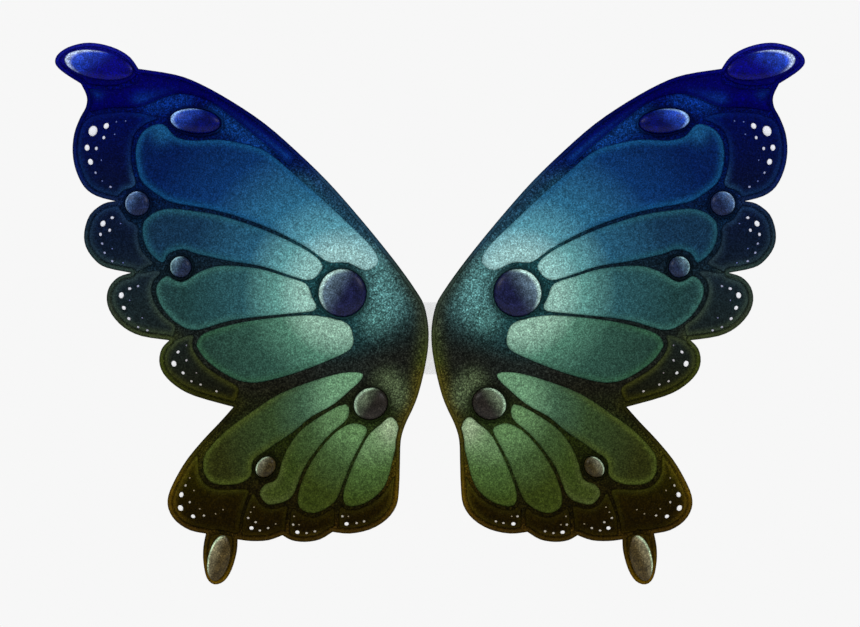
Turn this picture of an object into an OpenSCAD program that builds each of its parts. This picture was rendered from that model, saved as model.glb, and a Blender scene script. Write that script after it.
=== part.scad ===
// Costume fairy wings: two flat fabric wings, each hinged to a clear back plate with shoulder straps.
// Frame: +Z up, the show face along -Y, the wearer on the +Y side, left wing at -X.
// The origin is on the wearer's back, in the face of the back pads, at the height of the hinges.
// A wing is drawn in its own plane as [outboard, up], outboard counted from its root edge.

/* [Overall] */
// Span from tip to tip with both wings open
span = 900; // [750:2:1080]
// Height from the tail to the crest of a wing
height = 650; // [540:2:780]
// Gap between the root edges of the two wings
root_gap = 4; // [3:0.1:6]

/* [Wing sheet and edge] */
// Thickness of the printed fabric sheet and of the edge wire
sheet_t = 1; // [0.6:0.1:1.6]
// Width of the flat edge wire
wire_w = 2.2; // [1.5:0.1:3]
// Width of the folded tape round the edge
binding_w = 5; // [4:0.5:8]
// Thickness of the tape on the show face
tape_front = 1; // [0.6:0.1:1.6]
// Thickness of the tape on the back
tape_back = 0.5; // [0.3:0.1:1]
// Tape left outside the wire, at the very edge
tape_edge = 0.6; // [0.4:0.1:1]

/* [Panels, cabochons and pearls] */
// Thickness of a padded panel at its rim
panel_t = 2.5; // [1.5:0.1:4]
// Gap kept between a panel and the binding, a bezel or the next panel
panel_gap = 1; // [0.5:0.1:2]
// Width of the padded ring round a cabochon
bezel_w = 3; // [2:0.5:5]
// Height of that ring above the sheet
bezel_h = 3.5; // [2:0.5:5]
// Height of a large cabochon above the sheet
dome_h = 9; // [6:0.5:12]
// Height of a small cabochon above the sheet
small_dome_h = 7; // [5:0.5:9]
// Height of a pearl above its panel
pearl_h = 1.5; // [0.8:0.1:2.5]

/* [Battens] */
// Width of a batten
batten_w = 4; // [3:0.5:6]
// Thickness of a batten
batten_t = 1.5; // [1:0.1:2]

/* [Hinges and back plate] */
// Thickness of the clear back plate
plate_t = 3; // [2:0.5:5]
// Half width of the back plate
plate_half = 76; // [70:1:90]
// Distance from the plate's front face to the hinge axis
axis_stand = 10.5; // [10.5:0.5:14]
// Radius of a hinge knuckle
knuckle_r = 3; // [2.5:0.1:3.2]
// Radius of a hinge pin
pin_r = 1.25; // [0.8:0.05:1.5]
// Running clearance between a pin and its bores
pin_fit = 0.05; // [0.02:0.01:0.1]
// Height of the whole hinge
hinge_h = 87; // [60:1:110]
// Thickness of the hinge leaf
leaf_t = 2; // [1.8:0.1:3]
// Radius of a rivet's shank
rivet_r = 1.2; // [0.8:0.1:1.6]

/* [Pads and straps] */
// Thickness of a foam pad
pad_t = 12; // [8:1:20]
// Width of a foam pad
pad_w = 32; // [24:1:34]
// Height of a foam pad
pad_h = 100; // [70:1:120]
// Width of the elastic shoulder strap
strap_w = 20; // [15:1:25]
// Thickness of the strap
strap_t = 1.5; // [1:0.1:2.5]
// Clearance between the strap and the slot of its slider
strap_fit = 0.5; // [0.3:0.1:0.8]

/* [Hidden] */
$fn = 48;
EPS = 0.01;
SIDES = ["left", "right"];
WING_PARTS = [
    "wing_sheet", "edge_wire", "edge_binding", "costal_panel",
    "fore_panel_a", "fore_panel_b", "fore_panel_c", "fore_panel_d", "fore_lobe_panels",
    "hind_panel_e", "hind_panel_f", "hind_panel_g", "hind_panel_h", "hind_lobe_panels",
    "tip_cabochon", "costal_cabochon", "root_cabochon", "hind_cabochon", "tail_cabochon",
    "small_cabochons", "bezels", "pearls", "battens", "hinge_leaf", "leaf_rivets",
];

// Slack between the tape's fold, the wire and the sheet, and between a bezel and its cabochon
fold_fit = 0.2;
bezel_fit = 0.3;
wire_out = tape_edge + fold_fit;
sheet_out = wire_out + wire_w + fold_fit;

// Radii of a rivet's head at its base and its crown
head_base = 2.2 * rivet_r;
head_crown = 1.4 * rivet_r;

// Stations through the thickness, from the wearer's back forward to the show face
turn_gap = 1;
end_play = 0.5;
plate_back = -pad_t;
plate_front = plate_back - plate_t;
axis_y = plate_front - axis_stand;
sheet_back = axis_y - knuckle_r - turn_gap;
sheet_front = sheet_back - sheet_t;
binding_front = sheet_front - tape_front;
panel_front = sheet_front - panel_t;

// The axis stands out just far enough for the front corner of a folding root edge to miss the middle
fold_gap = 0.34;
corner = axis_y - binding_front;
root = root_gap / 2;
hinge_x = (root * root + corner * corner - fold_gap * fold_gap) / (2 * (root - fold_gap));
share_below = 0.52;
hinge_low = -share_below * hinge_h;
hinge_top = hinge_low + hinge_h;
knuckles = 5;
knuckle_h = (hinge_h - (knuckles - 1) * end_play) / knuckles;

// The points below are drawn for this reach and height, and are stretched to the two overall sizes
DRAWN_REACH = 448;
DRAWN_HEIGHT = 650;
stretch = [(span / 2 - root) / DRAWN_REACH, height / DRAWN_HEIGHT];

// Outline of a wing, one smooth run from each notch to the next, clockwise from the leading-edge notch
TIP_RUN = [
    [348, 322], [358, 336], [374, 346], [394, 352], [413, 353], [432, 348], [444, 340], [448, 332],
    [446, 325], [436, 316], [417, 304],
];
LOBE_1_RUN = [
    [417, 304], [410, 289], [411, 276], [418, 263], [425, 244], [427, 222], [423, 200], [413, 180],
    [398, 169], [376, 163],
];
LOBE_2_RUN = [
    [376, 163], [390, 160], [406, 147], [413, 126], [411, 108], [400, 92], [386, 83], [357, 77],
];
LOBE_3_RUN = [
    [357, 77], [372, 72], [383, 60], [386, 44], [380, 27], [365, 11], [344, 1], [311, -4],
];
LOBE_4_RUN = [[311, -4], [320, -14], [323, -29], [318, -44], [303, -59], [280, -71], [234, -84]];
HIND_1_RUN = [
    [234, -84], [250, -102], [269, -122], [289, -146], [303, -169], [312, -190], [312, -206],
    [303, -221], [286, -232], [267, -236],
];
TAIL_RUN = [
    [267, -236], [270, -252], [270, -270], [266, -289], [257, -297], [245, -293], [236, -279],
    [230, -258], [229, -243],
];
HIND_2_RUN = [[229, -243], [212, -245], [192, -244], [175, -238]];
HIND_3_RUN = [[175, -238], [164, -244], [148, -246], [130, -243], [115, -234]];
HIND_4_RUN = [
    [115, -234], [94, -236], [70, -231], [50, -219], [38, -202], [35, -180], [34, -150],
    [33, -124], [28, -106], [20, -89],
];
LEADING_RUN = [
    [20, -89], [13, -72], [7, -50], [3, -31], [0, -10], [0, 13], [5, 38], [15, 56], [34, 83],
    [59, 115], [89, 151], [121, 187], [158, 223], [196, 256], [236, 283], [274, 304], [304, 315],
    [348, 322],
];
RUNS = [
    TIP_RUN, LOBE_1_RUN, LOBE_2_RUN, LOBE_3_RUN, LOBE_4_RUN, HIND_1_RUN, TAIL_RUN, HIND_2_RUN,
    HIND_3_RUN, HIND_4_RUN, LEADING_RUN,
];

// Closed outlines of the panels that lie inside the wing
PANEL_A = [
    [318, 255], [338, 250], [349, 234], [351, 215], [346, 192], [334, 177], [315, 165], [288, 158],
    [244, 149], [192, 133], [150, 113], [131, 100], [116, 90], [96, 89], [75, 80], [60, 90],
    [68, 108], [94, 134], [132, 170], [164, 198], [192, 221], [219, 231], [250, 237], [284, 236],
    [304, 241],
];
PANEL_B = [
    [343, 131], [338, 142], [325, 151], [300, 153], [250, 146], [200, 128], [161, 109], [140, 97],
    [129, 85], [132, 75], [144, 69], [164, 73], [200, 86], [240, 93], [276, 99], [294, 105],
    [311, 100], [319, 90], [334, 102], [342, 118],
];
PANEL_C = [
    [313, 73], [325, 62], [325, 47], [315, 29], [298, 14], [276, 9], [238, 20], [200, 25],
    [154, 31], [136, 35], [140, 49], [148, 64], [170, 72], [204, 81], [248, 84], [273, 79],
    [296, 66],
];
PANEL_D = [
    [278, -7], [269, 4], [246, 12], [208, 20], [159, 24], [123, 24], [99, 17], [91, 4], [93, -14],
    [120, -28], [159, -43], [200, -54], [222, -53], [244, -43], [264, -29], [276, -15],
];
PANEL_E = [
    [270, -156], [267, -139], [246, -115], [214, -91], [178, -68], [136, -52], [102, -43],
    [79, -44], [86, -57], [114, -78], [142, -93], [165, -113], [191, -134], [210, -148],
    [213, -167], [233, -176], [257, -175], [268, -165],
];
PANEL_F = [
    [99, -82], [97, -96], [118, -115], [136, -136], [150, -157], [161, -185], [173, -197],
    [192, -201], [202, -189], [196, -177], [182, -170], [173, -142], [153, -116], [128, -98],
];
PANEL_G = [
    [92, -105], [76, -109], [78, -121], [93, -150], [107, -185], [118, -202], [138, -211],
    [154, -204], [154, -182], [140, -151], [116, -120],
];
PANEL_H = [
    [45, -96], [36, -108], [40, -136], [50, -170], [61, -187], [78, -199], [98, -201], [100, -182],
    [88, -150], [73, -121], [57, -105],
];

// Regions cut from the wing inside its binding: a smooth inner edge, closed outside the wing
TIP_EDGE = [[349, 316], [356, 309], [370, 303], [388, 301], [404, 303], [413, 306]];
TIP_BEYOND = [[460, 306], [460, 370], [340, 370]];
COSTAL_EDGE = [
    [405, 271], [376, 276], [345, 277], [318, 287], [298, 292], [274, 288], [255, 278], [220, 251],
    [186, 223], [166, 205],
];
COSTAL_BEYOND = [[150, 230], [260, 330], [346, 330], [349, 305], [370, 297], [405, 297], [430, 290]];
LOBE_1_EDGE = [
    [417, 254], [408, 261], [394, 267], [376, 269], [358, 269], [326, 263], [336, 258], [351, 247],
    [356, 234], [357, 213], [354, 195], [352, 182], [366, 175], [375, 166],
];
LOBE_1_BEYOND = [[400, 160], [450, 150], [450, 246]];
LOBE_2_EDGE = [
    [384, 162], [372, 157], [362, 142], [355, 137], [348, 130], [348, 116], [344, 102], [330, 88],
];
LOBE_2_BEYOND = [[362, 72], [440, 80], [440, 160]];
LOBE_3_EDGE = [
    [360, 77], [344, 77], [331, 78], [322, 77], [330, 69], [333, 58], [330, 45], [323, 32],
    [314, 22], [303, 13], [308, -3],
];
LOBE_3_BEYOND = [[420, -4], [420, 78]];
LOBE_4_EDGE = [
    [306, -5], [290, 0], [282, 1], [283, -7], [281, -17], [274, -28], [265, -38], [252, -47],
    [238, -55], [229, -62], [229, -72], [236, -82],
];
LOBE_4_BEYOND = [[350, -84], [350, -2]];
HIND_1_EDGE = [
    [277, -138], [276, -152], [275, -164], [269, -176], [257, -183], [236, -184], [216, -184],
    [219, -197], [223, -210], [226, -224], [229, -236], [248, -232], [268, -232],
];
HIND_1_BEYOND = [[330, -250], [340, -130]];
TAIL_EDGE = [[226, -246], [238, -238], [250, -236], [262, -238], [272, -242]];
TAIL_BEYOND = [[290, -310], [215, -310]];
HIND_2_EDGE = [
    [224, -250], [223, -222], [220, -209], [215, -196], [210, -187], [203, -198], [190, -206],
    [170, -203], [170, -212], [173, -250],
];
HIND_2_BEYOND = [[200, -270]];
HIND_3_EDGE = [
    [167, -250], [166, -220], [163, -206], [152, -213], [138, -217], [124, -212], [114, -206],
    [113, -220], [113, -250],
];
HIND_3_BEYOND = [[140, -270]];
HIND_4_EDGE = [
    [107, -250], [106, -207], [97, -209], [82, -207], [69, -201], [56, -192], [46, -178],
    [40, -165],
];
HIND_4_BEYOND = [[20, -160], [20, -260]];

// Cabochons: centre, half length, half width, and how far the long axis turns from outboard
TIP_GEM = [[395, 326], 42, 17, 11];
COSTAL_GEM = [[279, 259], 31, 15, 6];
ROOT_GEM = [[103, 53], 29, 29, 0];
HIND_GEM = [[69, -80], 21, 19, -30];
TAIL_GEM = [[251, -265], 28, 13, -77];
SMALL_GEMS = [
    [[349, 160], 15, 15, 0], [[297, 84], 13, 13, 0], [[195, -156], 14, 11, -50],
];
RINGED_GEMS = concat([COSTAL_GEM, ROOT_GEM, HIND_GEM], SMALL_GEMS);
DECK_GEMS = [TIP_GEM, TAIL_GEM];

// Pearls on each group of lobes: outboard, up, radius
FORE_PEARLS = [
    [402, 247, 6], [386, 253, 3.5], [389, 239, 2], [374, 258, 1], [363, 259, 1], [376, 243, 1],
    [409, 227, 3.5], [398, 226, 2], [405, 210, 3.5], [392, 212, 1], [399, 197, 1.5],
    [391, 187, 1], [381, 180, 1.5],
    [390, 136, 3.5], [379, 143, 2], [382, 128, 2], [369, 136, 1], [393, 123, 2], [391, 112, 1.5],
    [388, 101, 1.5], [379, 106, 1], [379, 91, 1.5], [366, 89, 1],
    [368, 50, 3.5], [358, 58, 2], [348, 61, 1.5], [365, 35, 2.5], [358, 44, 1], [359, 22, 2],
    [348, 12, 1.5], [343, 23, 1], [337, 8, 1.5],
    [290, -10, 1], [300, -18, 2], [305, -32, 3.5], [290, -28, 1.5], [294, -43, 2], [278, -43, 1],
    [284, -53, 1.5], [273, -57, 1.5], [254, -65, 1.5],
];
HIND_PEARLS = [
    [286, -169, 1], [291, -178, 1.5], [281, -184, 1], [296, -189, 3], [286, -198, 1.5],
    [297, -205, 3.5], [274, -206, 1], [282, -215, 2.5], [269, -214, 1.5], [255, -212, 1],
    [246, -207, 1],
    [209, -204, 1], [213, -210, 1], [216, -217, 1.5], [207, -222, 1.5], [212, -229, 2.5],
    [202, -232, 1.5], [192, -229, 1.5], [183, -224, 1],
    [161, -215, 1], [162, -225, 1.5], [155, -225, 1], [157, -234, 2.5], [146, -235, 1.5],
    [136, -233, 1.5],
    [103, -215, 1.5], [96, -215, 1], [98, -224, 2.5], [86, -223, 1.5], [77, -221, 1.5],
];

// Centre lines of the battens, from the hinge leaf outwards behind the dark veins
BATTENS = [
    [[46, 62], [78, 100], [124, 152], [190, 216], [250, 258], [310, 284], [360, 287]],
    [[50, 44], [92, 66], [120, 92], [165, 121], [215, 139], [275, 155], [352, 160]],
    [[52, 30], [94, 44], [135, 68], [170, 78], [225, 89], [290, 84], [345, 79]],
    [[52, 16], [94, 26], [150, 28], [205, 22], [250, 16], [296, 4]],
    [[52, 0], [84, -12], [130, -38], [180, -56], [228, -70]],
    [[50, -28], [84, -66], [136, -100], [176, -134], [206, -182], [224, -216], [248, -262]],
    [[44, -40], [92, -100], [124, -126], [148, -160], [166, -204], [170, -228]],
    [[36, -52], [68, -112], [92, -150], [104, -190], [110, -224]],
];
rivet_reach = 6;
LEAF = [
    [8, -46], [8, 42], [26, 60], [42, 74], [58, 76], [66, 52], [67, 10], [66, -24], [60, -50],
    [46, -66], [28, -66], [16, -58],
];

// Straps: centre line as [up, back], flat on the plate at both ends and straight where the slider rides
STRAP_ENDS = [[22, 0], [-46, 0]];
STRAP_TOP = [[50, 0], [57, 2], [64, 9], [69, 22], [64, 40]];
STRAP_RUN = [[56, 49], [-14, 85]];
STRAP_LOW = [[-50, 95], [-86, 88], [-114, 68], [-126, 42], [-120, 15], [-102, 3], [-80, 0]];
strap_x = 60;
strap_face = plate_back + strap_t / 2;
slider_h = 18;
slider_wall = 2;

// Smooth run through the points p in n steps a span, without its last point
function run(p, n = 3) = [
    for (i = [0 : len(p) - 2], k = [0 : n - 1])
        bend(p[max(i - 1, 0)], p[i], p[i + 1], p[min(i + 2, len(p) - 1)], k / n)
];
// The same through a closed loop of points
function ring(p, n = 3) = [
    for (i = [0 : len(p) - 1], k = [0 : n - 1])
        let (m = len(p))
        bend(p[(i + m - 1) % m], p[i], p[(i + 1) % m], p[(i + 2) % m], k / n)
];
// Catmull-Rom step: a point the share t of the way from b to c, with neighbours a and d
function bend(a, b, c, d, t) =
    (2 * b + (c - a) * t + (2 * a - 5 * b + 4 * c - d) * t * t + (3 * (b - c) + d - a) * t * t * t) / 2;
// A drawn point moved to its place in the wing of the size that is set
function at(p) = [root + p.x * stretch.x, p.y * stretch.y];
function all_at(points) = [for (p = points) at(p)];
// The last point of a list, as a list of one
function end(p) = [p[len(p) - 1]];
// Unit vector to the left of the way along the path p at its point i
function left_of(p, i) =
    let (d = p[min(i + 1, len(p) - 1)] - p[max(i - 1, 0)]) [-d.y, d.x] / norm(d);
// A band of width w along the path p, as one outline
function band(p, w) = concat(
    [for (i = [0 : len(p) - 1]) p[i] + left_of(p, i) * w / 2],
    [for (i = [len(p) - 1 : -1 : 0]) p[i] - left_of(p, i) * w / 2]
);

// Mirrors its children to the left wing, or leaves them on the right one
module on(side) mirror([side == "left" ? 1 : 0, 0, 0]) children();

// Stands a drawing of [outboard, up] in the wing's plane, from y = front back to y = back
module slab(front, back) translate([0, back, 0]) rotate([90, 0, 0]) linear_extrude(back - front) children();

// The wing's outline, drawn in by d all round, and rounded about the tips of the notches
module wing_outline(d = 0) offset(r = -d, $fn = 24) polygon(all_at([for (r = RUNS) each run(r)]));

// An ellipse for cabochon g, grown by d; its centre follows the wing, its size doesn't
module gem_outline(g, d = 0) {
    c = at(g[0]);
    points = [for (t = [0 : 10 : 350]) [(g[1] + d) * cos(t), (g[2] + d) * sin(t)]];
    translate(c) rotate(g[3]) polygon(points);
}

// Room that the ringed cabochons and their bezels take out of the panels
module gem_room() for (g = RINGED_GEMS) gem_outline(g, bezel_w + panel_gap);

// A padded panel of the drawn shape, cut clear of the binding and the bezels
module panel(points) slab(panel_front, sheet_front) difference() {
    intersection() {
        wing_outline(binding_w + panel_gap);
        polygon(all_at(ring(points)));
    }
    gem_room();
}

// The part of the wing inside the binding that lies in a region, padded as a panel
module edge_panel(edge, beyond) slab(panel_front, sheet_front) difference() {
    intersection() {
        wing_outline(binding_w + panel_gap);
        polygon(all_at(concat(run(edge), end(edge), beyond)));
    }
    gem_room();
}

// A cabochon: the top h of a spheroid about the long axis, cut so that its base is the drawn ellipse
module cabochon(g, base, h) {
    c = at(g[0]);
    half_w = g[2];
    ball = (half_w * half_w + h * h) / (2 * h);
    reach = g[1] * ball / half_w;
    profile = [for (t = [-90 : 5 : 90]) [ball * cos(t), reach * sin(t)]];
    translate([c.x, base, c.y]) rotate([0, -g[3], 0]) intersection() {
        translate([0, ball - h, 0]) rotate([0, 90, 0]) rotate_extrude() polygon(profile);
        translate([-2 * reach, -h - 1, -2 * reach]) cube([4 * reach, h + 1, 4 * reach]);
    }
}

// A pearl: a shallow spherical cap of radius p[2] on the panels' face
module pearl(p) {
    c = at(p);
    ball = (p[2] * p[2] + pearl_h * pearl_h) / (2 * pearl_h);
    translate([c.x, panel_front, c.y]) rotate([90, 0, 0]) rotate_extrude() intersection() {
        translate([0, pearl_h - ball]) circle(ball);
        square([p[2] + EPS, pearl_h + EPS]);
    }
}

// Where a batten is riveted: a point a little way along its centre line
function rivet_at(b) =
    let (p = all_at(b), d = p[1] - p[0]) p[0] + d / norm(d) * rivet_reach;

// The batten's footprint, grown by d on each side
module batten_outline(b, d = 0) polygon(band(concat(run(all_at(b)), end(all_at(b))), batten_w + 2 * d));

// Rivet holes of radius r through the leaf and the battens
module rivet_holes(r) for (b = BATTENS)
    translate([rivet_at(b).x, 0, rivet_at(b).y]) rotate([90, 0, 0])
        translate([0, 0, -sheet_back - leaf_t - EPS]) cylinder(r = r, h = leaf_t + 2 * EPS);

// One knuckle on the axis, with its bore; i counts up from the bottom
module knuckle(i) translate([hinge_x, axis_y, hinge_low + i * (knuckle_h + end_play)])
    cylinder(r = knuckle_r, h = knuckle_h);

// The bore for the pin, right through the column of knuckles
module pin_bore() translate([hinge_x, axis_y, hinge_low - EPS])
    cylinder(r = pin_r + pin_fit, h = hinge_h + 2 * EPS);

// Sub-parts of a wing, drawn on the right
module wing_sheet() color([0.08, 0.09, 0.10])
    slab(sheet_front, sheet_back) wing_outline(sheet_out);

module edge_wire() color([0.62, 0.63, 0.66]) slab(sheet_front, sheet_back) difference() {
    wing_outline(wire_out);
    wing_outline(wire_out + wire_w);
}

module edge_binding() color([0.02, 0.05, 0.30]) difference() {
    slab(binding_front, sheet_back + tape_back) difference() {
        wing_outline();
        wing_outline(binding_w);
    }
    slab(sheet_front, sheet_back) wing_outline(tape_edge);
}

module costal_panel() color([0.01, 0.06, 0.36]) edge_panel(COSTAL_EDGE, COSTAL_BEYOND);
module fore_panel_a() color([0.10, 0.32, 0.50]) panel(PANEL_A);
module fore_panel_b() color([0.10, 0.30, 0.38]) panel(PANEL_B);
module fore_panel_c() color([0.15, 0.32, 0.32]) panel(PANEL_C);
module fore_panel_d() color([0.18, 0.36, 0.30]) panel(PANEL_D);
module hind_panel_e() color([0.24, 0.30, 0.14]) panel(PANEL_E);
module hind_panel_f() color([0.26, 0.32, 0.14]) panel(PANEL_F);
module hind_panel_g() color([0.27, 0.33, 0.15]) panel(PANEL_G);
module hind_panel_h() color([0.29, 0.37, 0.18]) panel(PANEL_H);

module fore_lobe_panels() color([0.03, 0.05, 0.22]) {
    edge_panel(TIP_EDGE, TIP_BEYOND);
    edge_panel(LOBE_1_EDGE, LOBE_1_BEYOND);
    edge_panel(LOBE_2_EDGE, LOBE_2_BEYOND);
    edge_panel(LOBE_3_EDGE, LOBE_3_BEYOND);
    edge_panel(LOBE_4_EDGE, LOBE_4_BEYOND);
}

module hind_lobe_panels() color([0.13, 0.09, 0.01]) {
    edge_panel(HIND_1_EDGE, HIND_1_BEYOND);
    edge_panel(TAIL_EDGE, TAIL_BEYOND);
    edge_panel(HIND_2_EDGE, HIND_2_BEYOND);
    edge_panel(HIND_3_EDGE, HIND_3_BEYOND);
    edge_panel(HIND_4_EDGE, HIND_4_BEYOND);
}

module tip_cabochon() color([0.0, 0.05, 0.50]) cabochon(TIP_GEM, panel_front, dome_h - panel_t);
module costal_cabochon() color([0.02, 0.10, 0.45]) cabochon(COSTAL_GEM, sheet_front, dome_h);
module root_cabochon() color([0.20, 0.28, 0.38]) cabochon(ROOT_GEM, sheet_front, dome_h);
module hind_cabochon() color([0.25, 0.27, 0.22]) cabochon(HIND_GEM, sheet_front, dome_h);
module tail_cabochon() color([0.40, 0.34, 0.16]) cabochon(TAIL_GEM, panel_front, dome_h - panel_t);
module small_cabochons() color([0.15, 0.22, 0.36]) for (g = SMALL_GEMS) cabochon(g, sheet_front, small_dome_h);

module bezels() color([0.05, 0.05, 0.06]) for (g = RINGED_GEMS)
    slab(sheet_front - bezel_h, sheet_front) difference() {
        gem_outline(g, bezel_w);
        gem_outline(g, bezel_fit);
    }

module pearls() color([0.80, 0.86, 0.84]) for (p = concat(FORE_PEARLS, HIND_PEARLS)) pearl(p);

module battens() color([0.75, 0.76, 0.74]) difference() {
    slab(sheet_back, sheet_back + batten_t) for (b = BATTENS) batten_outline(b);
    rivet_holes(rivet_r + pin_fit);
}

module hinge_leaf() color([0.82, 0.84, 0.86]) {
    web_w = 8;
    web_t = 2.5;
    relief_w = 3.2 * knuckle_r;
    slot_fit = 0.15;
    difference() {
        union() {
            slab(sheet_back, sheet_back + leaf_t) intersection() {
                wing_outline(binding_w + panel_gap);
                polygon(all_at(ring(LEAF)));
            }
            for (i = [1 : 2 : knuckles - 2]) {
                knuckle(i);
                translate([hinge_x, axis_y - knuckle_r, hinge_low + i * (knuckle_h + end_play)])
                    cube([web_w, web_t, knuckle_h]);
            }
        }
        slab(sheet_back - EPS, sheet_back + batten_t + slot_fit / 2)
            for (b = BATTENS) batten_outline(b, slot_fit);
        for (i = [0 : 2 : knuckles - 1])
            translate([hinge_x - 2 * knuckle_r, sheet_back - EPS, hinge_low + i * (knuckle_h + end_play) - end_play])
                cube([relief_w, 2 * knuckle_r, knuckle_h + 2 * end_play]);
        rivet_holes(rivet_r + pin_fit);
        pin_bore();
    }
}

module leaf_rivets() color([0.70, 0.70, 0.72]) for (b = BATTENS) {
    head_t = 1.2;
    translate([rivet_at(b).x, sheet_back, rivet_at(b).y]) rotate([-90, 0, 0]) {
        cylinder(r = rivet_r, h = leaf_t);
        translate([0, 0, leaf_t]) cylinder(r1 = head_base, r2 = head_crown, h = head_t);
    }
}

// Sub-parts of the middle
// The plate's outline on one side: a waist at the hinges, and an ear behind the strap
function plate_half_outline() = [
    [0, hinge_top], [hinge_x - 3, hinge_top], [22, 56], [28, 60],
    [plate_half - 8, 60], [plate_half - 2, 58], [plate_half, 52],
    [plate_half, -66], [plate_half - 2, -72], [plate_half - 8, -74],
    [30, -74], [22, -70], [hinge_x - 1, hinge_low], [0, hinge_low],
];

module back_plate() color([0.85, 0.88, 0.90, 0.5]) difference() {
    block_w = 5;
    union() {
        for (s = SIDES) on(s) slab(plate_front, plate_back) polygon(plate_half_outline());
        for (s = SIDES) on(s) for (i = [0 : 2 : knuckles - 1]) {
            knuckle(i);
            translate([hinge_x - block_w / 2, axis_y, hinge_low + i * (knuckle_h + end_play)])
                cube([block_w, axis_stand + EPS, knuckle_h]);
        }
    }
    for (s = SIDES) on(s) pin_bore();
    for (s = SIDES) on(s) strap_rivet_holes(rivet_r + pin_fit);
}

module hinge_pins() color([0.72, 0.72, 0.74]) for (s = SIDES) on(s) {
    head_r = 0.85 * knuckle_r;
    head_h = 1.5;
    translate([hinge_x, axis_y, hinge_low]) cylinder(r = pin_r, h = hinge_h + EPS);
    translate([hinge_x, axis_y, hinge_top]) cylinder(r = head_r, h = head_h);
}

module back_pads() color([0.16, 0.16, 0.18]) for (s = SIDES) on(s) {
    corner_r = 8;
    pad_in = hinge_x + 2;
    slab(plate_back, 0) translate([pad_in + pad_w / 2, 0]) offset(corner_r)
        square([pad_w - 2 * corner_r, pad_h - 2 * corner_r], center = true);
}

// Two rivets hold each end of the strap
RIVET_UPS = [28, 42, -54, -68];

module strap_rivet_holes(r) for (z = RIVET_UPS)
    translate([strap_x, plate_front - EPS, z]) rotate([-90, 0, 0])
        cylinder(r = r, h = plate_t + strap_t + 2 * EPS);

module strap_rivets() color([0.70, 0.70, 0.72]) for (s = SIDES, z = RIVET_UPS) on(s)
    translate([strap_x, plate_front, z]) rotate([-90, 0, 0]) {
        head_t = 1;
        cylinder(r = rivet_r, h = plate_t + strap_t);
        translate([0, 0, -head_t]) cylinder(r1 = head_crown, r2 = head_base, h = head_t);
        translate([0, 0, plate_t + strap_t]) cylinder(r1 = head_base, r2 = head_crown, h = head_t);
    }

// The strap's centre line as [back, up] in the object's frame
function strap_path() =
    let (points = concat(
        [STRAP_ENDS[0]], run(concat(STRAP_TOP, [STRAP_RUN[0]])), [STRAP_RUN[0]],
        run(concat([STRAP_RUN[1]], STRAP_LOW)), end(STRAP_LOW), [STRAP_ENDS[1]]
    ))
    [for (p = points) [strap_face + p.y, p.x]];

module shoulder_strap() color([0.10, 0.10, 0.11]) difference() {
    translate([strap_x + strap_w / 2, 0, 0]) rotate([90, 0, -90])
        linear_extrude(strap_w) polygon([for (p = band(strap_path(), strap_t)) [-p.x, p.y]]);
    strap_rivet_holes(rivet_r + pin_fit);
}

// The slider rides at the middle of the straight run, its length along it
module strap_slider() color([0.14, 0.14, 0.15]) {
    low = [strap_face + STRAP_RUN[1].y, STRAP_RUN[1].x];
    high = [strap_face + STRAP_RUN[0].y, STRAP_RUN[0].x];
    mid = (low + high) / 2;
    lean = atan2(low.x - high.x, high.y - low.y);
    slot = [strap_w + 2 * strap_fit, strap_t + 2 * strap_fit];
    bar = 3;
    translate([strap_x, mid.x, mid.y]) rotate([lean, 0, 0]) difference() {
        cube([slot.x + 2 * slider_wall, slot.y + 2 * slider_wall, slider_h], center = true);
        cube([slot.x, slot.y, slider_h + 1], center = true);
        for (k = [-1, 1]) translate([0, slot.y, k * (slider_h / 4 + bar / 8)])
            cube([slot.x, 2 * slot.y, slider_h / 2 - bar - slider_wall / 2], center = true);
    }
}

for (s = SIDES) on(s) {
    wing_sheet();
    edge_wire();
    edge_binding();
    costal_panel();
    fore_panel_a();
    fore_panel_b();
    fore_panel_c();
    fore_panel_d();
    fore_lobe_panels();
    hind_panel_e();
    hind_panel_f();
    hind_panel_g();
    hind_panel_h();
    hind_lobe_panels();
    tip_cabochon();
    costal_cabochon();
    root_cabochon();
    hind_cabochon();
    tail_cabochon();
    small_cabochons();
    bezels();
    pearls();
    battens();
    hinge_leaf();
    leaf_rivets();
    shoulder_strap();
    strap_slider();
}
back_plate();
hinge_pins();
back_pads();
strap_rivets();
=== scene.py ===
"""Looks for a pair of costume fairy wings: airbrushed cloth cells, cabochons, folded tape and soft straps.

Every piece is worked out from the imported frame. The left wing is the right one mirrored about X = 0.
Lengths in the finishes and shapes are millimetres, and meshes are metres in the frame's own axes.
"""

import logging
import math
from collections.abc import Callable
from dataclasses import dataclass, field
from enum import Enum

import bpy
import numpy as np
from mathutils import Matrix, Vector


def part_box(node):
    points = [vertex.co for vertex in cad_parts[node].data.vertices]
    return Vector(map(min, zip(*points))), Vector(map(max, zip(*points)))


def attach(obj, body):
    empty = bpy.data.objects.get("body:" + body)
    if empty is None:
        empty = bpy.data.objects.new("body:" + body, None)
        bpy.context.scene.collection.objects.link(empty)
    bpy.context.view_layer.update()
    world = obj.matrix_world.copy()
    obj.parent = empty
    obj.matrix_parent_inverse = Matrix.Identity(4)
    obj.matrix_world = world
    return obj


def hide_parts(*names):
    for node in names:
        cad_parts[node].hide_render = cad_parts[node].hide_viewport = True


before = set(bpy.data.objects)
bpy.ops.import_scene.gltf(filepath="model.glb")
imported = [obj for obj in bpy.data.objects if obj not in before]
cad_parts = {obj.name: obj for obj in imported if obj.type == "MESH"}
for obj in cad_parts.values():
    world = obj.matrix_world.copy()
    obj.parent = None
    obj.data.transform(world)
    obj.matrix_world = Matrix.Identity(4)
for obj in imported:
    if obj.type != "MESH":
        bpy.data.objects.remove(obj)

Array = np.ndarray
Colour = tuple[float, float, float]

MM = 0.001
log = logging.getLogger("fairy_wings")


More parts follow.
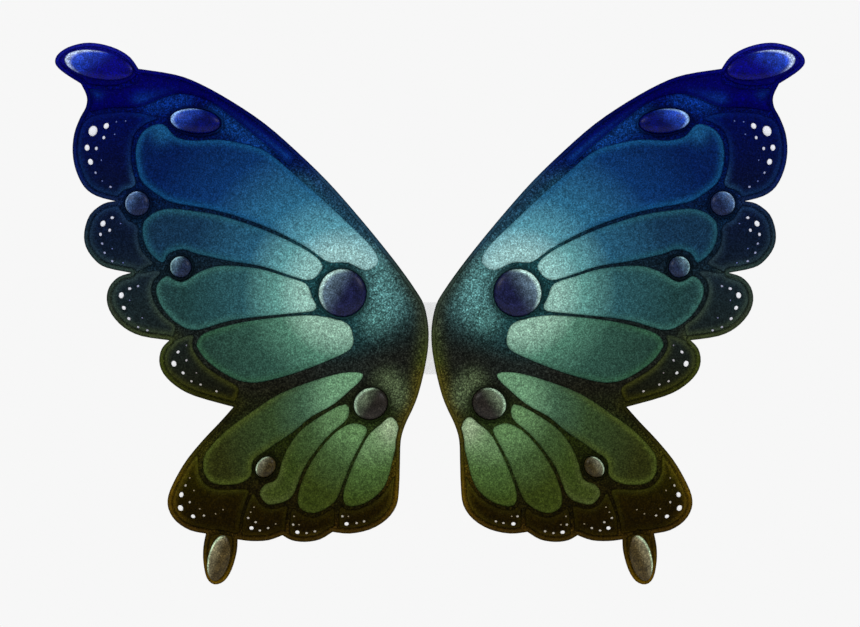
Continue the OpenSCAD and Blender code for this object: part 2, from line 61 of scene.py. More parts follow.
class Side(Enum):
    """Which wing a piece belongs to; the value is the sign of its X."""

    LEFT = -1
    RIGHT = 1

    @property
    def tag(self) -> str:
        """The side's name, as the nodes' names begin."""
        return self.name.lower()

    @property
    def body(self) -> str:
        """The body that this side's wing turns with."""
        return f"{self.tag}_wing"


def linear(code: str) -> Colour:
    """A six-digit hexadecimal shade as linear red, green and blue."""
    parts = [int(code[i:i + 2], 16) / 255 for i in (0, 2, 4)]
    return tuple(c / 12.92 if c <= 0.04045 else ((c + 0.055) / 1.055) ** 2.4 for c in parts)


def smooth(low: float, high: float, x: Array) -> Array:
    """Smooth step from 0 at low to 1 at high."""
    t = np.clip((x - low) / (high - low), 0, 1)
    return t * t * (3 - 2 * t)


def around(count: int) -> Array:
    """Angles spaced evenly over one full turn, in radians."""
    return np.arange(count) / count * 2 * math.pi


def lengths_along(points: Array) -> Array:
    """How far along an open line of points each point lies, from 0 at the first."""
    return np.concatenate([[0], np.cumsum(np.hypot(*np.diff(points, axis=0).T))])


def between(low: str, high: str, share: Array) -> Array:
    """Rows of linear colour between two shades, by a column of shares."""
    return np.array(linear(low)) * (1 - share) + np.array(linear(high)) * share


# --------------------------------------------------------------------------- meshes


@dataclass
class Mesh:
    """A mesh as whole arrays, before it becomes an object.

    Args:
        points: one row of x, y, z in metres for each vertex.
        faces: arrays of vertex numbers, three or four to a row, counter-clockwise from outside.
        values: named values for each vertex; a row of three is a colour, a single one a number.
    """

    points: Array
    faces: list[Array]
    values: dict[str, Array] = field(default_factory=dict)

    def mirrored(self) -> "Mesh":
        """The same mesh on the other side of X = 0, with its faces turned the right way again."""
        return Mesh(self.points * (-1, 1, 1), [f[:, ::-1] for f in self.faces], self.values)

    def on(self, side: Side) -> "Mesh":
        """The mesh on the given side, having been drawn on the right."""
        return self if side is Side.RIGHT else self.mirrored()

    def build(self, name: str) -> bpy.types.Object:
        """Makes the mesh a smooth-shaded object at the origin.

        Args:
            name: the object's name.

        Returns:
            The linked object.
        """
        data = bpy.data.meshes.new(name)
        rows = [row for f in self.faces for row in f.tolist()]
        data.from_pydata(self.points.tolist(), [], rows)
        for key, value in self.values.items():
            if value.ndim == 2:
                layer = data.attributes.new(key, "FLOAT_COLOR", "POINT")
                rgba = np.column_stack([value, np.ones(len(value))])
                layer.data.foreach_set("color", rgba.astype(np.float32).ravel())
            else:
                layer = data.attributes.new(key, "FLOAT", "POINT")
                layer.data.foreach_set("value", value.astype(np.float32))
        data.polygons.foreach_set("use_smooth", np.ones(len(data.polygons), bool))
        data.update()
        made = bpy.data.objects.new(name, data)
        bpy.context.scene.collection.objects.link(made)
        return made


def joined(meshes: list[Mesh]) -> Mesh:
    """Several meshes as one.

    Args:
        meshes: the meshes, with the same named values.

    Returns:
        The joined mesh.
    """
    starts = np.cumsum([0] + [len(m.points) for m in meshes[:-1]])
    faces = [f + s for m, s in zip(meshes, starts) for f in m.faces]
    keys = meshes[0].values
    return Mesh(
        np.concatenate([m.points for m in meshes]), faces,
        {k: np.concatenate([m.values[k] for m in meshes]) for k in keys},
    )


def grid_faces(rows: int, cols: int, wrap_rows: bool, wrap_cols: bool) -> Array:
    """Quads of a grid of points that are numbered row by row.

    Args:
        rows: number of rows.
        cols: points in a row.
        wrap_rows: whether the last row joins the first.
        wrap_cols: whether each row closes on itself.

    Returns:
        Rows of four point numbers.
    """
    i = np.arange(rows if wrap_rows else rows - 1)[:, None]
    j = np.arange(cols if wrap_cols else cols - 1)[None, :]
    a, b = i * cols + j, (i + 1) % rows * cols + j
    c, d = (i + 1) % rows * cols + (j + 1) % cols, i * cols + (j + 1) % cols
    return np.stack([a, b, c, d], axis=-1).reshape(-1, 4)


# --------------------------------------------------------------------------- outlines


@dataclass
class Outline:
    """Closed outlines in the wing's plane, as directed segments with the inside on their left.

    Args:
        starts: first ends of the segments, as rows of x, z in metres.
        ends: second ends of the same segments.
    """

    starts: Array
    ends: Array

    @classmethod
    def of_face(cls, node: str, at_front: bool = True, axis: int = 1) -> "Outline":
        """The outline of a node's flat face, seen along an axis.

        The face's triangles are those with all corners at the node's lowest or highest place on
        the axis. An edge that only one of them uses is on the outline.

        Args:
            node: name of the CAD node.
            at_front: whether the face is the lowest on the axis, or the highest.
            axis: the axis that the face is square to; 1 is depth.

        Returns:
            The outline.
        """
        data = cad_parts[node].data
        co = np.empty(len(data.vertices) * 3)
        data.vertices.foreach_get("co", co)
        co = co.reshape(-1, 3)
        data.calc_loop_triangles()
        tris = np.empty(len(data.loop_triangles) * 3, int)
        data.loop_triangles.foreach_get("vertices", tris)
        tris = tris.reshape(-1, 3)
        depth = co[:, axis].min() if at_front else co[:, axis].max()
        flat = tris[(np.abs(co[tris][:, :, axis] - depth) < 2e-6).all(axis=1)]
        keys = np.round(np.delete(co, axis, axis=1) * 1e6).astype(int)
        unique, index = np.unique(keys, axis=0, return_inverse=True)
        corners = index.reshape(-1)[flat]
        edges = np.concatenate([corners[:, [0, 1]], corners[:, [1, 2]], corners[:, [2, 0]]])
        edges = edges[edges[:, 0] != edges[:, 1]]
        count = len(unique)
        forward, back = edges[:, 0] * count + edges[:, 1], edges[:, 1] * count + edges[:, 0]
        rim = edges[~np.isin(forward, back)]
        if not at_front:
            rim = rim[:, ::-1]
        places = unique * 1e-6
        return cls(places[rim[:, 0]], places[rim[:, 1]])

    def loops(self) -> list[Array]:
        """The outline's separate closed loops.

        Returns:
            Each loop as its points in order, longest first.
        """
        keys = {tuple(k): i for i, k in enumerate(np.round(self.starts * 1e6).astype(int).tolist())}
        follow = [keys.get(tuple(k), -1) for k in np.round(self.ends * 1e6).astype(int).tolist()]
        left, found = set(range(len(follow))), []
        while left:
            i, order = min(left), []
            while i in left:
                left.discard(i)
                order.append(i)
                i = follow[i]
            found.append(self.starts[order])
        return sorted(found, key=len, reverse=True)

    def grown(self, amount: Callable[[Array], Array]) -> "Outline":
        """The outline with its corners moved outwards.

        Args:
            amount: gives how far each corner moves, in metres, from one loop's rows of x, z.

        Returns:
            The new outline.
        """
        starts, ends = [], []
        for loop in self.loops():
            ahead, behind = np.roll(loop, -1, axis=0) - loop, loop - np.roll(loop, 1, axis=0)
            heading = ahead / np.hypot(*ahead.T)[:, None] + behind / np.hypot(*behind.T)[:, None]
            heading /= np.maximum(np.hypot(*heading.T), 1e-9)[:, None]
            moved = loop + np.column_stack([heading[:, 1], -heading[:, 0]]) * amount(loop)[:, None]
            starts.append(moved)
            ends.append(np.roll(moved, -1, axis=0))
        return Outline(np.concatenate(starts), np.concatenate(ends))

    def nearest(self, points: Array) -> tuple[Array, Array]:
        """Distance to the outline, positive inside, and the nearest point on it.

        Args:
            points: rows of x, z.

        Returns:
            The signed distances, and the nearest points as rows of x, z.
        """
        distance, place = np.empty(len(points)), np.empty((len(points), 2))
        way = self.ends - self.starts
        square = (way ** 2).sum(axis=1)
        for first in range(0, len(points), 8000):
            part = points[first:first + 8000]
            off = part[:, None] - self.starts[None]
            share = np.clip((off * way).sum(axis=2) / square, 0, 1)
            foot = self.starts + share[:, :, None] * way
            gap = ((part[:, None] - foot) ** 2).sum(axis=2)
            best = gap.argmin(axis=1)
            rows = np.arange(len(part))
            above = (self.starts[:, 1] > part[:, None, 1]) != (self.ends[:, 1] > part[:, None, 1])
            rise = np.where(way[:, 1] == 0, 1, way[:, 1])
            cross = self.starts[:, 0] + (part[:, None, 1] - self.starts[:, 1]) * way[:, 0] / rise
            inside = (above & (part[:, None, 0] < cross)).sum(axis=1) % 2 == 1
            distance[first:first + 8000] = np.sqrt(gap[rows, best]) * np.where(inside, 1, -1)
            place[first:first + 8000] = foot[rows, best]
        return distance, place


@dataclass
class Relief:
    """A closed solid over an outline, flat behind and rising in front as its height says.

    The footprint is a square grid cut at the outline: the cells whose middles lie inside are kept,
    their outer corners are drawn onto the outline, and the corners inside are evened out. The
    front is at depth minus height(distance from the outline), and the back is flat.

    Args:
        outline: where the solid ends.
        pitch: size of a grid cell, in metres.
        back: depth of its back face, in metres.
    """

    outline: Outline
    pitch: float
    back: float
    flat: Array = field(init=False)
    quads: Array = field(init=False)
    rim: Array = field(init=False)
    distance: Array = field(init=False)

    def __post_init__(self) -> None:
        """Cuts the grid and evens it out."""
        low, high = self.outline.starts.min(axis=0), self.outline.starts.max(axis=0)
        counts = np.ceil((high - low) / self.pitch).astype(int) + 3
        x = low[0] + (np.arange(counts[0]) - 1) * self.pitch
        z = low[1] + (np.arange(counts[1]) - 1) * self.pitch
        points = np.stack(np.meshgrid(x, z, indexing="ij"), axis=-1).reshape(-1, 2)
        cells = grid_faces(counts[0], counts[1], False, False)
        inside = self.outline.nearest(points[cells].mean(axis=1))[0] > 0.12 * self.pitch
        cells = cells[inside]
        used, numbers = np.unique(cells, return_inverse=True)
        self.quads = numbers.reshape(-1, 4)
        points = points[used]
        edges = np.concatenate([self.quads[:, [k, (k + 1) % 4]] for k in range(4)])
        forward = edges[:, 0] * len(used) + edges[:, 1]
        back = edges[:, 1] * len(used) + edges[:, 0]
        self.rim = edges[~np.isin(forward, back)]
        on_rim = np.zeros(len(points), bool)
        on_rim[self.rim] = True
        for _ in range(4):
            points[on_rim] = self.outline.nearest(points[on_rim])[1]
            points = np.where(on_rim[:, None], self._even(points, self.rim), self._even(points, edges))
        points[on_rim] = self.outline.nearest(points[on_rim])[1]
        self.flat = points
        self.distance = np.where(on_rim, 0, np.maximum(self.outline.nearest(points)[0], 0))

    def _even(self, values: Array, edges: Array) -> Array:
        """Moves values most of the way to the mean of their neighbours.

        Args:
            values: one row for each point.
            edges: pairs of neighbouring points.

        Returns:
            The moved values.
        """
        total, count = np.zeros_like(values), np.zeros(len(values))
        for a, b in ((0, 1), (1, 0)):
            np.add.at(total, edges[:, a], values[edges[:, b]])
            np.add.at(count, edges[:, a], 1)
        mean = total / np.maximum(count, 1).reshape(-1, *[1] * (values.ndim - 1))
        moved = 0.4 * values + 0.6 * mean
        return np.where((count > 0).reshape(-1, *[1] * (values.ndim - 1)), moved, values)

    def smoothed(self, height: Array, times: int) -> Array:
        """A height evened out over the grid, with the rim held.

        Args:
            height: one for each grid point.
            times: how often it is evened out.

        Returns:
            The new heights.
        """
        edges = np.concatenate([self.quads[:, [k, (k + 1) % 4]] for k in range(4)])
        held = self.distance <= 0
        for _ in range(times):
            height = np.where(held, height, self._even(height, edges))
        return height

    def mesh(self, height: Array, values: dict[str, Array]) -> Mesh:
        """The closed solid.

        Args:
            height: how far the front stands before the back at each grid point, in metres.
            values: named values at each grid point.

        Returns:
            The mesh: front, flat back and the strip between them.
        """
        count = len(self.flat)
        x, z = self.flat.T
        front = np.column_stack([x, self.back - height, z])
        behind = np.column_stack([x, np.full(count, self.back), z])
        a, b = self.rim.T
        strip = np.column_stack([b, a, a + count, b + count])
        return Mesh(
            np.concatenate([front, behind]),
            [self.quads, self.quads[:, ::-1] + count, strip],
            {k: np.concatenate([v, v]) for k, v in values.items()},
        )


# --------------------------------------------------------------------------- airbrushed colour


@dataclass(frozen=True)
class Stroke:
    """One soft airbrush stroke between two places of the wing, in millimetres; a dab has one place."""

    start: tuple[float, float]
    end: tuple[float, float]
    reach: float
    shade: str
    strength: float = 0.7

    def over(self, made: Array, places: Array) -> Array:
        """Lays the stroke over a colour, fading as exp(-(distance / reach) squared).

        Args:
            made: rows of linear red, green, blue.
            places: rows of outboard, up in millimetres.

        Returns:
            The new rows of colour.
        """
        start = np.array(self.start, float)
        along = np.array(self.end, float) - start
        t = np.clip((places - start) @ along / max(along @ along, 1), 0, 1)
        away = np.hypot(*(places - start - t[:, None] * along).T)
        share = (self.strength * np.exp(-(away / self.reach) ** 2))[:, None]
        return made * (1 - share) + np.array(linear(self.shade)) * share


def blended(measure: Array, stops: tuple[float, ...], codes: tuple[str, ...]) -> Array:
    """Shades that follow each other along a measure.

    Args:
        measure: one number for each place.
        stops: the measure at which each shade is pure, rising.
        codes: the shades.

    Returns:
        Rows of linear red, green, blue.
    """
    shades = np.array([linear(code) for code in codes])
    return np.column_stack([np.interp(measure, stops, shades[:, k]) for k in range(3)])


@dataclass(frozen=True)
class Fade:
    """Shades that darken with the distance from a root of the wing, at the same steps in every cell."""

    STEPS = (50, 80, 120, 190, 260)

    centre: tuple[float, float]
    shades: tuple[str, str, str, str, str]
    strokes: tuple[Stroke, ...] = ()

    def reach(self, places: Array) -> Array:
        """The distance of each place from the root, in millimetres."""
        return np.hypot(*(places - self.centre).T)

    def __call__(self, places: Array) -> Array:
        """The colour at each place.

        Args:
            places: rows of outboard, up in millimetres.

        Returns:
            Rows of linear red, green, blue.
        """
        made = blended(self.reach(places), self.STEPS, self.shades)
        for stroke in self.strokes:
            made = stroke.over(made, places)
        return made


@dataclass(frozen=True)
class Glow:
    """The rim of a panel: the body's colour at the root, turning to one shade farther out."""

    body: Fade
    shade: str

    def __call__(self, places: Array) -> Array:
        """The colour at each place.

        Args:
            places: rows of outboard, up in millimetres.

        Returns:
            Rows of linear red, green, blue.
        """
        share = 0.9 * smooth(60, 190, self.body.reach(places))[:, None]
        return self.body(places) * (1 - share) + np.array(linear(self.shade)) * share


@dataclass(frozen=True)
class Ramp:
    """Shades that follow each other from the bottom of the wing to its top, with strokes over them.

    Args:
        stops: pairs of a height in millimetres and a shade, rising.
        strokes: laid over the ramp in turn.
    """

    stops: tuple[tuple[float, str], ...]
    strokes: tuple[Stroke, ...] = ()

    def __call__(self, places: Array) -> Array:
        """The colour at each place.

        Args:
            places: rows of outboard, up in millimetres.

        Returns:
            Rows of linear red, green, blue.
        """
        heights, codes = zip(*self.stops)
        made = blended(places[:, 1], heights, codes)
        for stroke in self.strokes:
            made = stroke.over(made, places)
        return made


@dataclass(frozen=True)
class CellPaint:
    """How a cloth cell is airbrushed: a body, a lighter rim and a dark line at the very edge.

    Args:
        body: colour of the middle.
        rim: colour of the band inside the edge.
        rim_width: how far the band reaches, in millimetres.
    """

    body: Callable[[Array], Array]
    rim: Callable[[Array], Array]
    rim_width: float = 6

    def tint(self, places: Array, distance: Array) -> Array:
        """The airbrushed colour.

        Args:
            places: rows of outboard, up in millimetres.
            distance: distance from the cell's edge in millimetres.

        Returns:
            Rows of linear red, green, blue.
        """
        band = (np.exp(-(distance / self.rim_width) ** 2) * smooth(-0.6, 1.8, distance))[:, None]
        made = self.body(places) * (1 - band) + self.rim(places) * band
        return made * (0.55 + 0.45 * smooth(-0.5, 1.6, distance))[:, None]


def panel(centre: tuple[float, float], shades: tuple[str, ...], rim: str, *strokes: Stroke) -> CellPaint:
    """The paint of one long panel.

    Args:
        centre: the root that it fades from.
        shades: its five shades, from the root outwards.
        rim: the shade of its far rim.
        strokes: laid over the body.

    Returns:
        The paint.
    """
    body = Fade(centre, shades, strokes)
    return CellPaint(body, Glow(body, rim))


ROOT = (103, 53)
HIND_ROOT = (69, -80)

CELLS: dict[str, CellPaint] = {
    "costal_panel": CellPaint(
        Fade(ROOT, ("205080", "184878", "103870", "000860", "000058"), (
            Stroke((255, 265), (175, 215), 11, "104488", 0.8),
            Stroke((345, 282), (310, 284), 10, "083080", 0.7),
            Stroke((400, 296), (400, 300), 9, "083880", 0.7),
        )),
        Fade(ROOT, ("205080", "184070", "082858", "000858", "000050")),
    ),
    "fore_panel_a": panel(
        ROOT, ("98c4c4", "5898a8", "2c6888", "0c3468", "041c50"), "145080",
        Stroke((320, 245), (320, 248), 12, "1c5c8c"),
    ),
    "fore_panel_b": panel(ROOT, ("90c0bc", "609ca0", "285c78", "143450", "143048"), "245868"),
    "fore_panel_c": panel(ROOT, ("94c0b4", "609890", "2c5860", "204040", "243c40"), "3c6c64"),
    "fore_panel_d": panel(ROOT, ("90b8a4", "50806c", "305448", "203830", "1c3028"), "386448"),
    "hind_panel_e": panel(HIND_ROOT, ("6c9874", "406048", "344828", "2c3010", "282804"), "4c5820"),
    "hind_panel_f": panel(HIND_ROOT, ("608458", "3c5430", "344418", "3c4418", "3c4418"), "505c2c"),
    "hind_panel_g": panel(HIND_ROOT, ("608454", "405830", "344014", "2c3408", "2c3408"), "44501c"),
    "hind_panel_h": panel(
        HIND_ROOT, ("68885c", "486434", "344414", "2c3810", "2c3810"), "506028",
        Stroke((48, -105), (44, -112), 15, "a8bc98"),
    ),
    "fore_lobe_panels": CellPaint(
        Ramp((
            (-70, "141408"), (-40, "181c14"), (40, "182428"), (110, "0c182c"),
            (200, "040c34"), (260, "000848"), (310, "000048"), (340, "000068"),
        )),
        Ramp((
            (-70, "38380c"), (-20, "384020"), (40, "34443c"), (110, "203444"),
            (180, "102c58"), (250, "041858"), (300, "000058"), (340, "101078"),
        ), (
            Stroke((360, 178), (345, 200), 10, "24486c"),
            Stroke((345, 265), (335, 262), 9, "04286c"),
        )),
        5,
    ),
    "hind_lobe_panels": CellPaint(
        Ramp(((-290, "281c04"), (-230, "181000"), (-200, "1c1400"), (-170, "201c00"))),
        Ramp(((-290, "806020"), (-260, "483808"), (-230, "241c00"), (-200, "282404"), (-150, "404410")), (
            Stroke((312, -195), (295, -155), 16, "584808"),
            Stroke((300, -212), (312, -195), 14, "503c08"),
            Stroke((150, -246), (80, -234), 10, "403408"),
            Stroke((50, -215), (35, -170), 12, "483c08"),
        )),
        5,
    ),
}

SHEET_PAINT = Ramp((
    (-250, "141000"), (-180, "181404"), (-120, "1c2408"), (-60, "181810"), (-20, "181c18"),
    (60, "101c20"), (130, "081c30"), (200, "001040"), (270, "000844"), (330, "000058"),
), (
    Stroke((130, 95), (110, 20), 45, "204c50", 0.7),
    Stroke((150, 180), (60, 105), 20, "204c60", 0.7),
    Stroke((60, 95), (50, 40), 24, "588c8c", 0.8),
    Stroke((62, 22), (66, 18), 15, "4c7c78", 0.7),
    Stroke((330, 278), (296, 286), 12, "083080", 0.6),
    Stroke((255, 265), (200, 230), 14, "0c3878", 0.7),
    Stroke((50, -50), (30, -75), 14, "586848", 0.7),
    Stroke((150, -40), (20, -25), 14, "1c1c18", 0.6),
    Stroke((75, -110), (100, -150), 30, "283818", 0.6),
))

TAPE_PAINT = Ramp((
    (-290, "604808"), (-250, "302404"), (-225, "382808"), (-190, "544008"), (-140, "343008"),
    (-100, "181808"), (-70, "282808"), (-30, "384014"), (30, "30382c"), (80, "283834"),
    (140, "142438"), (200, "081850"), (270, "000448"), (310, "000058"), (350, "101480"),
), (
    Stroke((30, -120), (10, -50), 14, "504818", 0.7),
    Stroke((120, 190), (60, 115), 20, "284c60", 0.6),
))


# --------------------------------------------------------------------------- shader nodes


class Graph:
    """A node tree that is written as nested calls."""

    def __init__(self, tree: bpy.types.NodeTree) -> None:
        """Takes the tree to add to."""
        self.tree = tree

    def add(self, kind: str, inputs: dict | None = None, **settings: object) -> bpy.types.Node:
        """Adds a node.

        Args:
            kind: the node's type, without its Shader prefix.
            inputs: sockets by name or number; a value is a constant or another node's output.
            settings: the node's own properties.

        Returns:
            The node.
        """
        made = self.tree.nodes.new(kind)
        for key, value in settings.items():
            setattr(made, key, value)
        for key, value in (inputs or {}).items():
            if isinstance(value, bpy.types.NodeSocket):
                self.tree.links.new(value, made.inputs[key])
            else:
                made.inputs[key].default_value = value
        return made

    def math(self, operation: str, *values: object) -> bpy.types.NodeSocket:
        """The result of a Math node on the values."""
        return self.add("ShaderNodeMath", dict(enumerate(values)), operation=operation).outputs[0]

    def mix(self, share: object, a: object, b: object, blend: str = "MIX") -> bpy.types.NodeSocket:
        """Colour a blended with colour b by the share."""
        inputs = {0: share, 6: a, 7: b}
        node = self.add("ShaderNodeMix", inputs, data_type="RGBA", blend_type=blend)
        return node.outputs[2]

    def link(self, source: bpy.types.NodeSocket, target: bpy.types.NodeSocket) -> None:
        """Joins an output to an input."""
        self.tree.links.new(source, target)

    def scaled(self, vector: object, factor: object) -> bpy.types.NodeSocket:
        """A vector or colour times a number."""
        return self.add("ShaderNodeVectorMath", {0: vector, "Scale": factor}, operation="SCALE").outputs[0]

    def ramp(
        self, value: object, low: float, high: float, to_low: float = 0, to_high: float = 1,
    ) -> bpy.types.NodeSocket:
        """The value carried smoothly from low..high to to_low..to_high."""
        inputs = {"Value": value, "From Min": low, "From Max": high, "To Min": to_low, "To Max": to_high}
        return self.add("ShaderNodeMapRange", inputs, interpolation_type="SMOOTHSTEP").outputs[0]

    def noise(self, vector: object, scale: float, detail: float = 2) -> bpy.types.NodeSocket:
        """Noise between 0 and 1 with features one over scale in size."""
        inputs = {"Vector": vector, "Scale": scale, "Detail": detail}
        return self.add("ShaderNodeTexNoise", inputs).outputs["Fac"]


def new_group(
    name: str, inputs: dict[str, object], outputs: dict[str, str],
) -> tuple[Graph, dict, bpy.types.Node]:
    """Starts a shader node group.

    Args:
        name: the group's name.
        inputs: each input's name with its default: a number, four in a row for a colour, or three
            for a vector.
        outputs: each output's name with its socket type.

    Returns:
        The group's graph, its inputs' sockets by name, and its output node.
    """
    tree = bpy.data.node_groups.new(name, "ShaderNodeTree")
    kinds = {1: "NodeSocketFloat", 3: "NodeSocketVector", 4: "NodeSocketColor"}
    for key, value in inputs.items():
        kind = kinds[len(value) if isinstance(value, tuple) else 1]
        socket = tree.interface.new_socket(key, in_out="INPUT", socket_type=kind)
        socket.default_value = value
    for key, kind in outputs.items():
        tree.interface.new_socket(key, in_out="OUTPUT", socket_type=kind)
    graph = Graph(tree)
    entry, leave = graph.add("NodeGroupInput"), graph.add("NodeGroupOutput")
    return graph, {s.name: s for s in entry.outputs if s.name}, leave


def speckle_group() -> bpy.types.NodeTree:
    """Airbrush grain: fine mottling that lightens and darkens a tint, and scattered bright flecks.

    Returns:
        The group's tree.
    """
    graph, inlet, leave = new_group(
        "airbrush_speckle",
        {"Vector": (0.0, 0.0, 0.0), "Tint": (0.5, 0.5, 0.5, 1.0), "Grain": 0.5, "Flecks": 0.3},
        {"Color": "NodeSocketColor", "Height": "NodeSocketFloat", "Fleck": "NodeSocketFloat"},
    )
    fine = graph.noise(inlet["Vector"], 640, 2)
    broad = graph.noise(inlet["Vector"], 170, 3)
    both = graph.math("ADD", graph.math("MULTIPLY", fine, 0.78), graph.math("MULTIPLY", broad, 0.22))
    swing = graph.math("MULTIPLY", graph.math("SUBTRACT", both, 0.5), inlet["Grain"])
    gain = graph.math("EXPONENT", graph.math("MULTIPLY", swing, 4.5))
    grained = graph.scaled(inlet["Tint"], gain)
    cells = graph.add("ShaderNodeTexVoronoi", {"Vector": inlet["Vector"], "Scale": 520.0})
    near = graph.ramp(cells.outputs["Distance"], 0.34, 0.12)
    pick = graph.add("ShaderNodeSeparateColor", {0: cells.outputs["Color"]}).outputs[0]
    chosen = graph.ramp(pick, 0.6, 0.98)
    fleck = graph.math("MULTIPLY", near, chosen)
    share = graph.math("MULTIPLY", fleck, inlet["Flecks"])
    lifted = graph.scaled(inlet["Tint"], 1.9)
    pale = graph.add("ShaderNodeVectorMath", {0: lifted, 1: (0.008, 0.012, 0.01)}, operation="ADD").outputs[0]
    graph.link(graph.mix(share, grained, pale), leave.inputs["Color"])
    graph.link(both, leave.inputs["Height"])
    graph.link(fleck, leave.inputs["Fleck"])
    return graph.tree


def weave_group() -> bpy.types.NodeTree:
    """Plain weave: the product of two sine waves, one across the other, as a height.

    Returns:
        The group's tree.
    """
    graph, inlet, leave = new_group(
        "plain_weave",
        {"Across": 0.0, "Along": 0.0, "Pitch": 0.6},
        {"Height": "NodeSocketFloat"},
    )
    turns = graph.math("DIVIDE", 2 * math.pi, inlet["Pitch"])
    waves = [
        graph.math("SINE", graph.math("MULTIPLY", inlet[key], turns)) for key in ("Across", "Along")
    ]
    product = graph.math("MULTIPLY", waves[0], waves[1])
    height = graph.math("ADD", graph.math("MULTIPLY", product, 0.5), 0.5)
    graph.link(height, leave.inputs["Height"])
    return graph.tree


def wear_group() -> bpy.types.NodeTree:
    """Handling marks: soft smudges and fine scratches as a mask, for moulded and metal surfaces.

    Returns:
        The group's tree.
    """
    graph, inlet, leave = new_group(
        "handling_marks",
        {"Vector": (0.0, 0.0, 0.0)},
        {"Mask": "NodeSocketFloat", "Height": "NodeSocketFloat"},
    )
    place = inlet["Vector"]
    smudge = graph.ramp(graph.noise(place, 60, 4), 0.42, 0.68)
    long = graph.add("ShaderNodeMapping", {"Vector": place, "Scale": (900.0, 900.0, 40.0)}).outputs[0]
    scratch = graph.ramp(graph.noise(long, 1.0, 1), 0.66, 0.74)
    mask = graph.math("ADD", graph.math("MULTIPLY", smudge, 0.6), graph.math("MULTIPLY", scratch, 0.4))
    graph.link(mask, leave.inputs["Mask"])
    graph.link(graph.noise(place, 1400, 2), leave.inputs["Height"])
    return graph.tree


class Groups:
    """The shared effects, each built once."""

    speckle: bpy.types.NodeTree = speckle_group()
    weave: bpy.types.NodeTree = weave_group()
    wear: bpy.types.NodeTree = wear_group()


@dataclass(frozen=True)
class Finish:
    """What every finish has: a name, a roughness and a specular level.

    Args:
        name: the material's name.
        roughness: base roughness.
        specular: the surface's specular level.
        bump: how far the finish's relief reaches, in millimetres.
    """

    name: str
    roughness: float = 0.6
    specular: float = 0.2
    bump: float = 0.05

    def start(self) -> tuple[Graph, bpy.types.Node, bpy.types.NodeSocket, bpy.types.Material]:
        """Starts the finish's material.

        Returns:
            Its graph, its Principled shader, its object coordinates and the material itself.
        """
        material = bpy.data.materials.new(self.name)
        material.use_nodes = True
        graph = Graph(material.node_tree)
        shader = material.node_tree.nodes["Principled BSDF"]
        shader.inputs["Roughness"].default_value = self.roughness
        shader.inputs["Specular IOR Level"].default_value = self.specular
        place = graph.add("ShaderNodeTexCoord").outputs["Object"]
        return graph, shader, place, material

    def relief(self, graph: Graph, shader: bpy.types.Node, height: bpy.types.NodeSocket) -> None:
        """Sends a height of 0 to 1 to the shader's normal."""
        inputs = {"Height": height, "Strength": 1.0, "Distance": self.bump * MM}
        normal = graph.add("ShaderNodeBump", inputs).outputs["Normal"]
        graph.link(normal, shader.inputs["Normal"])


@dataclass(frozen=True)
class PaintedCloth(Finish):
    """Airbrushed satin whose tint is the piece's own: speckled, flecked with glitter, and woven.

    Args:
        grain: strength of the speckle.
        flecks: strength of the glitter.
        pitch: the weave's pitch in millimetres.
    """

    grain: float = 0.6
    flecks: float = 0.5
    pitch: float = 0.7

    def material(self) -> bpy.types.Material:
        """Makes the finish.

        Returns:
            The material.
        """
        graph, shader, place, material = self.start()
        tint = graph.add("ShaderNodeAttribute", attribute_name="tint").outputs["Color"]
        inputs = {"Vector": place, "Tint": tint, "Grain": self.grain, "Flecks": self.flecks}
        speckle = graph.add("ShaderNodeGroup", inputs, node_tree=Groups.speckle)
        axes = graph.add("ShaderNodeSeparateXYZ", {0: place}).outputs
        inputs = {"Across": axes[0], "Along": axes[2], "Pitch": self.pitch * MM}
        weave = graph.add("ShaderNodeGroup", inputs, node_tree=Groups.weave)
        graph.link(speckle.outputs["Color"], shader.inputs["Base Color"])
        rough = graph.ramp(speckle.outputs["Fleck"], 0.0, 1.0, self.roughness, 0.5 * self.roughness)
        graph.link(rough, shader.inputs["Roughness"])
        mottle = graph.math("MULTIPLY", speckle.outputs["Height"], 0.6)
        threads = graph.math("MULTIPLY", weave.outputs["Height"], 0.4)
        self.relief(graph, shader, graph.math("ADD", mottle, threads))
        return material


@dataclass(frozen=True)
class MottledGloss(Finish):
    """A poured cabochon: a painted body with cloudy mottling under a clear, glossy face.

    Args:
        mottle: strength of the clouds.
    """

    mottle: float = 0.5

    def material(self) -> bpy.types.Material:
        """Makes the finish.

        Returns:
            The material.
        """
        graph, shader, place, material = self.start()
        tint = graph.add("ShaderNodeAttribute", attribute_name="tint").outputs["Color"]
        inputs = {"Vector": place, "Tint": tint, "Grain": self.mottle, "Flecks": 0.35}
        speckle = graph.add("ShaderNodeGroup", inputs, node_tree=Groups.speckle)
        swing = 0.25 * min(1, self.mottle)
        cloud = graph.ramp(graph.noise(place, 110, 4), 0.38, 0.66, 1 - swing, 1 + swing)
        graph.link(graph.scaled(speckle.outputs["Color"], cloud), shader.inputs["Base Color"])
        shader.inputs["Coat Weight"].default_value = 0.04
        shader.inputs["Coat Roughness"].default_value = 0.12
        self.relief(graph, shader, graph.noise(place, 160, 2))
        return material


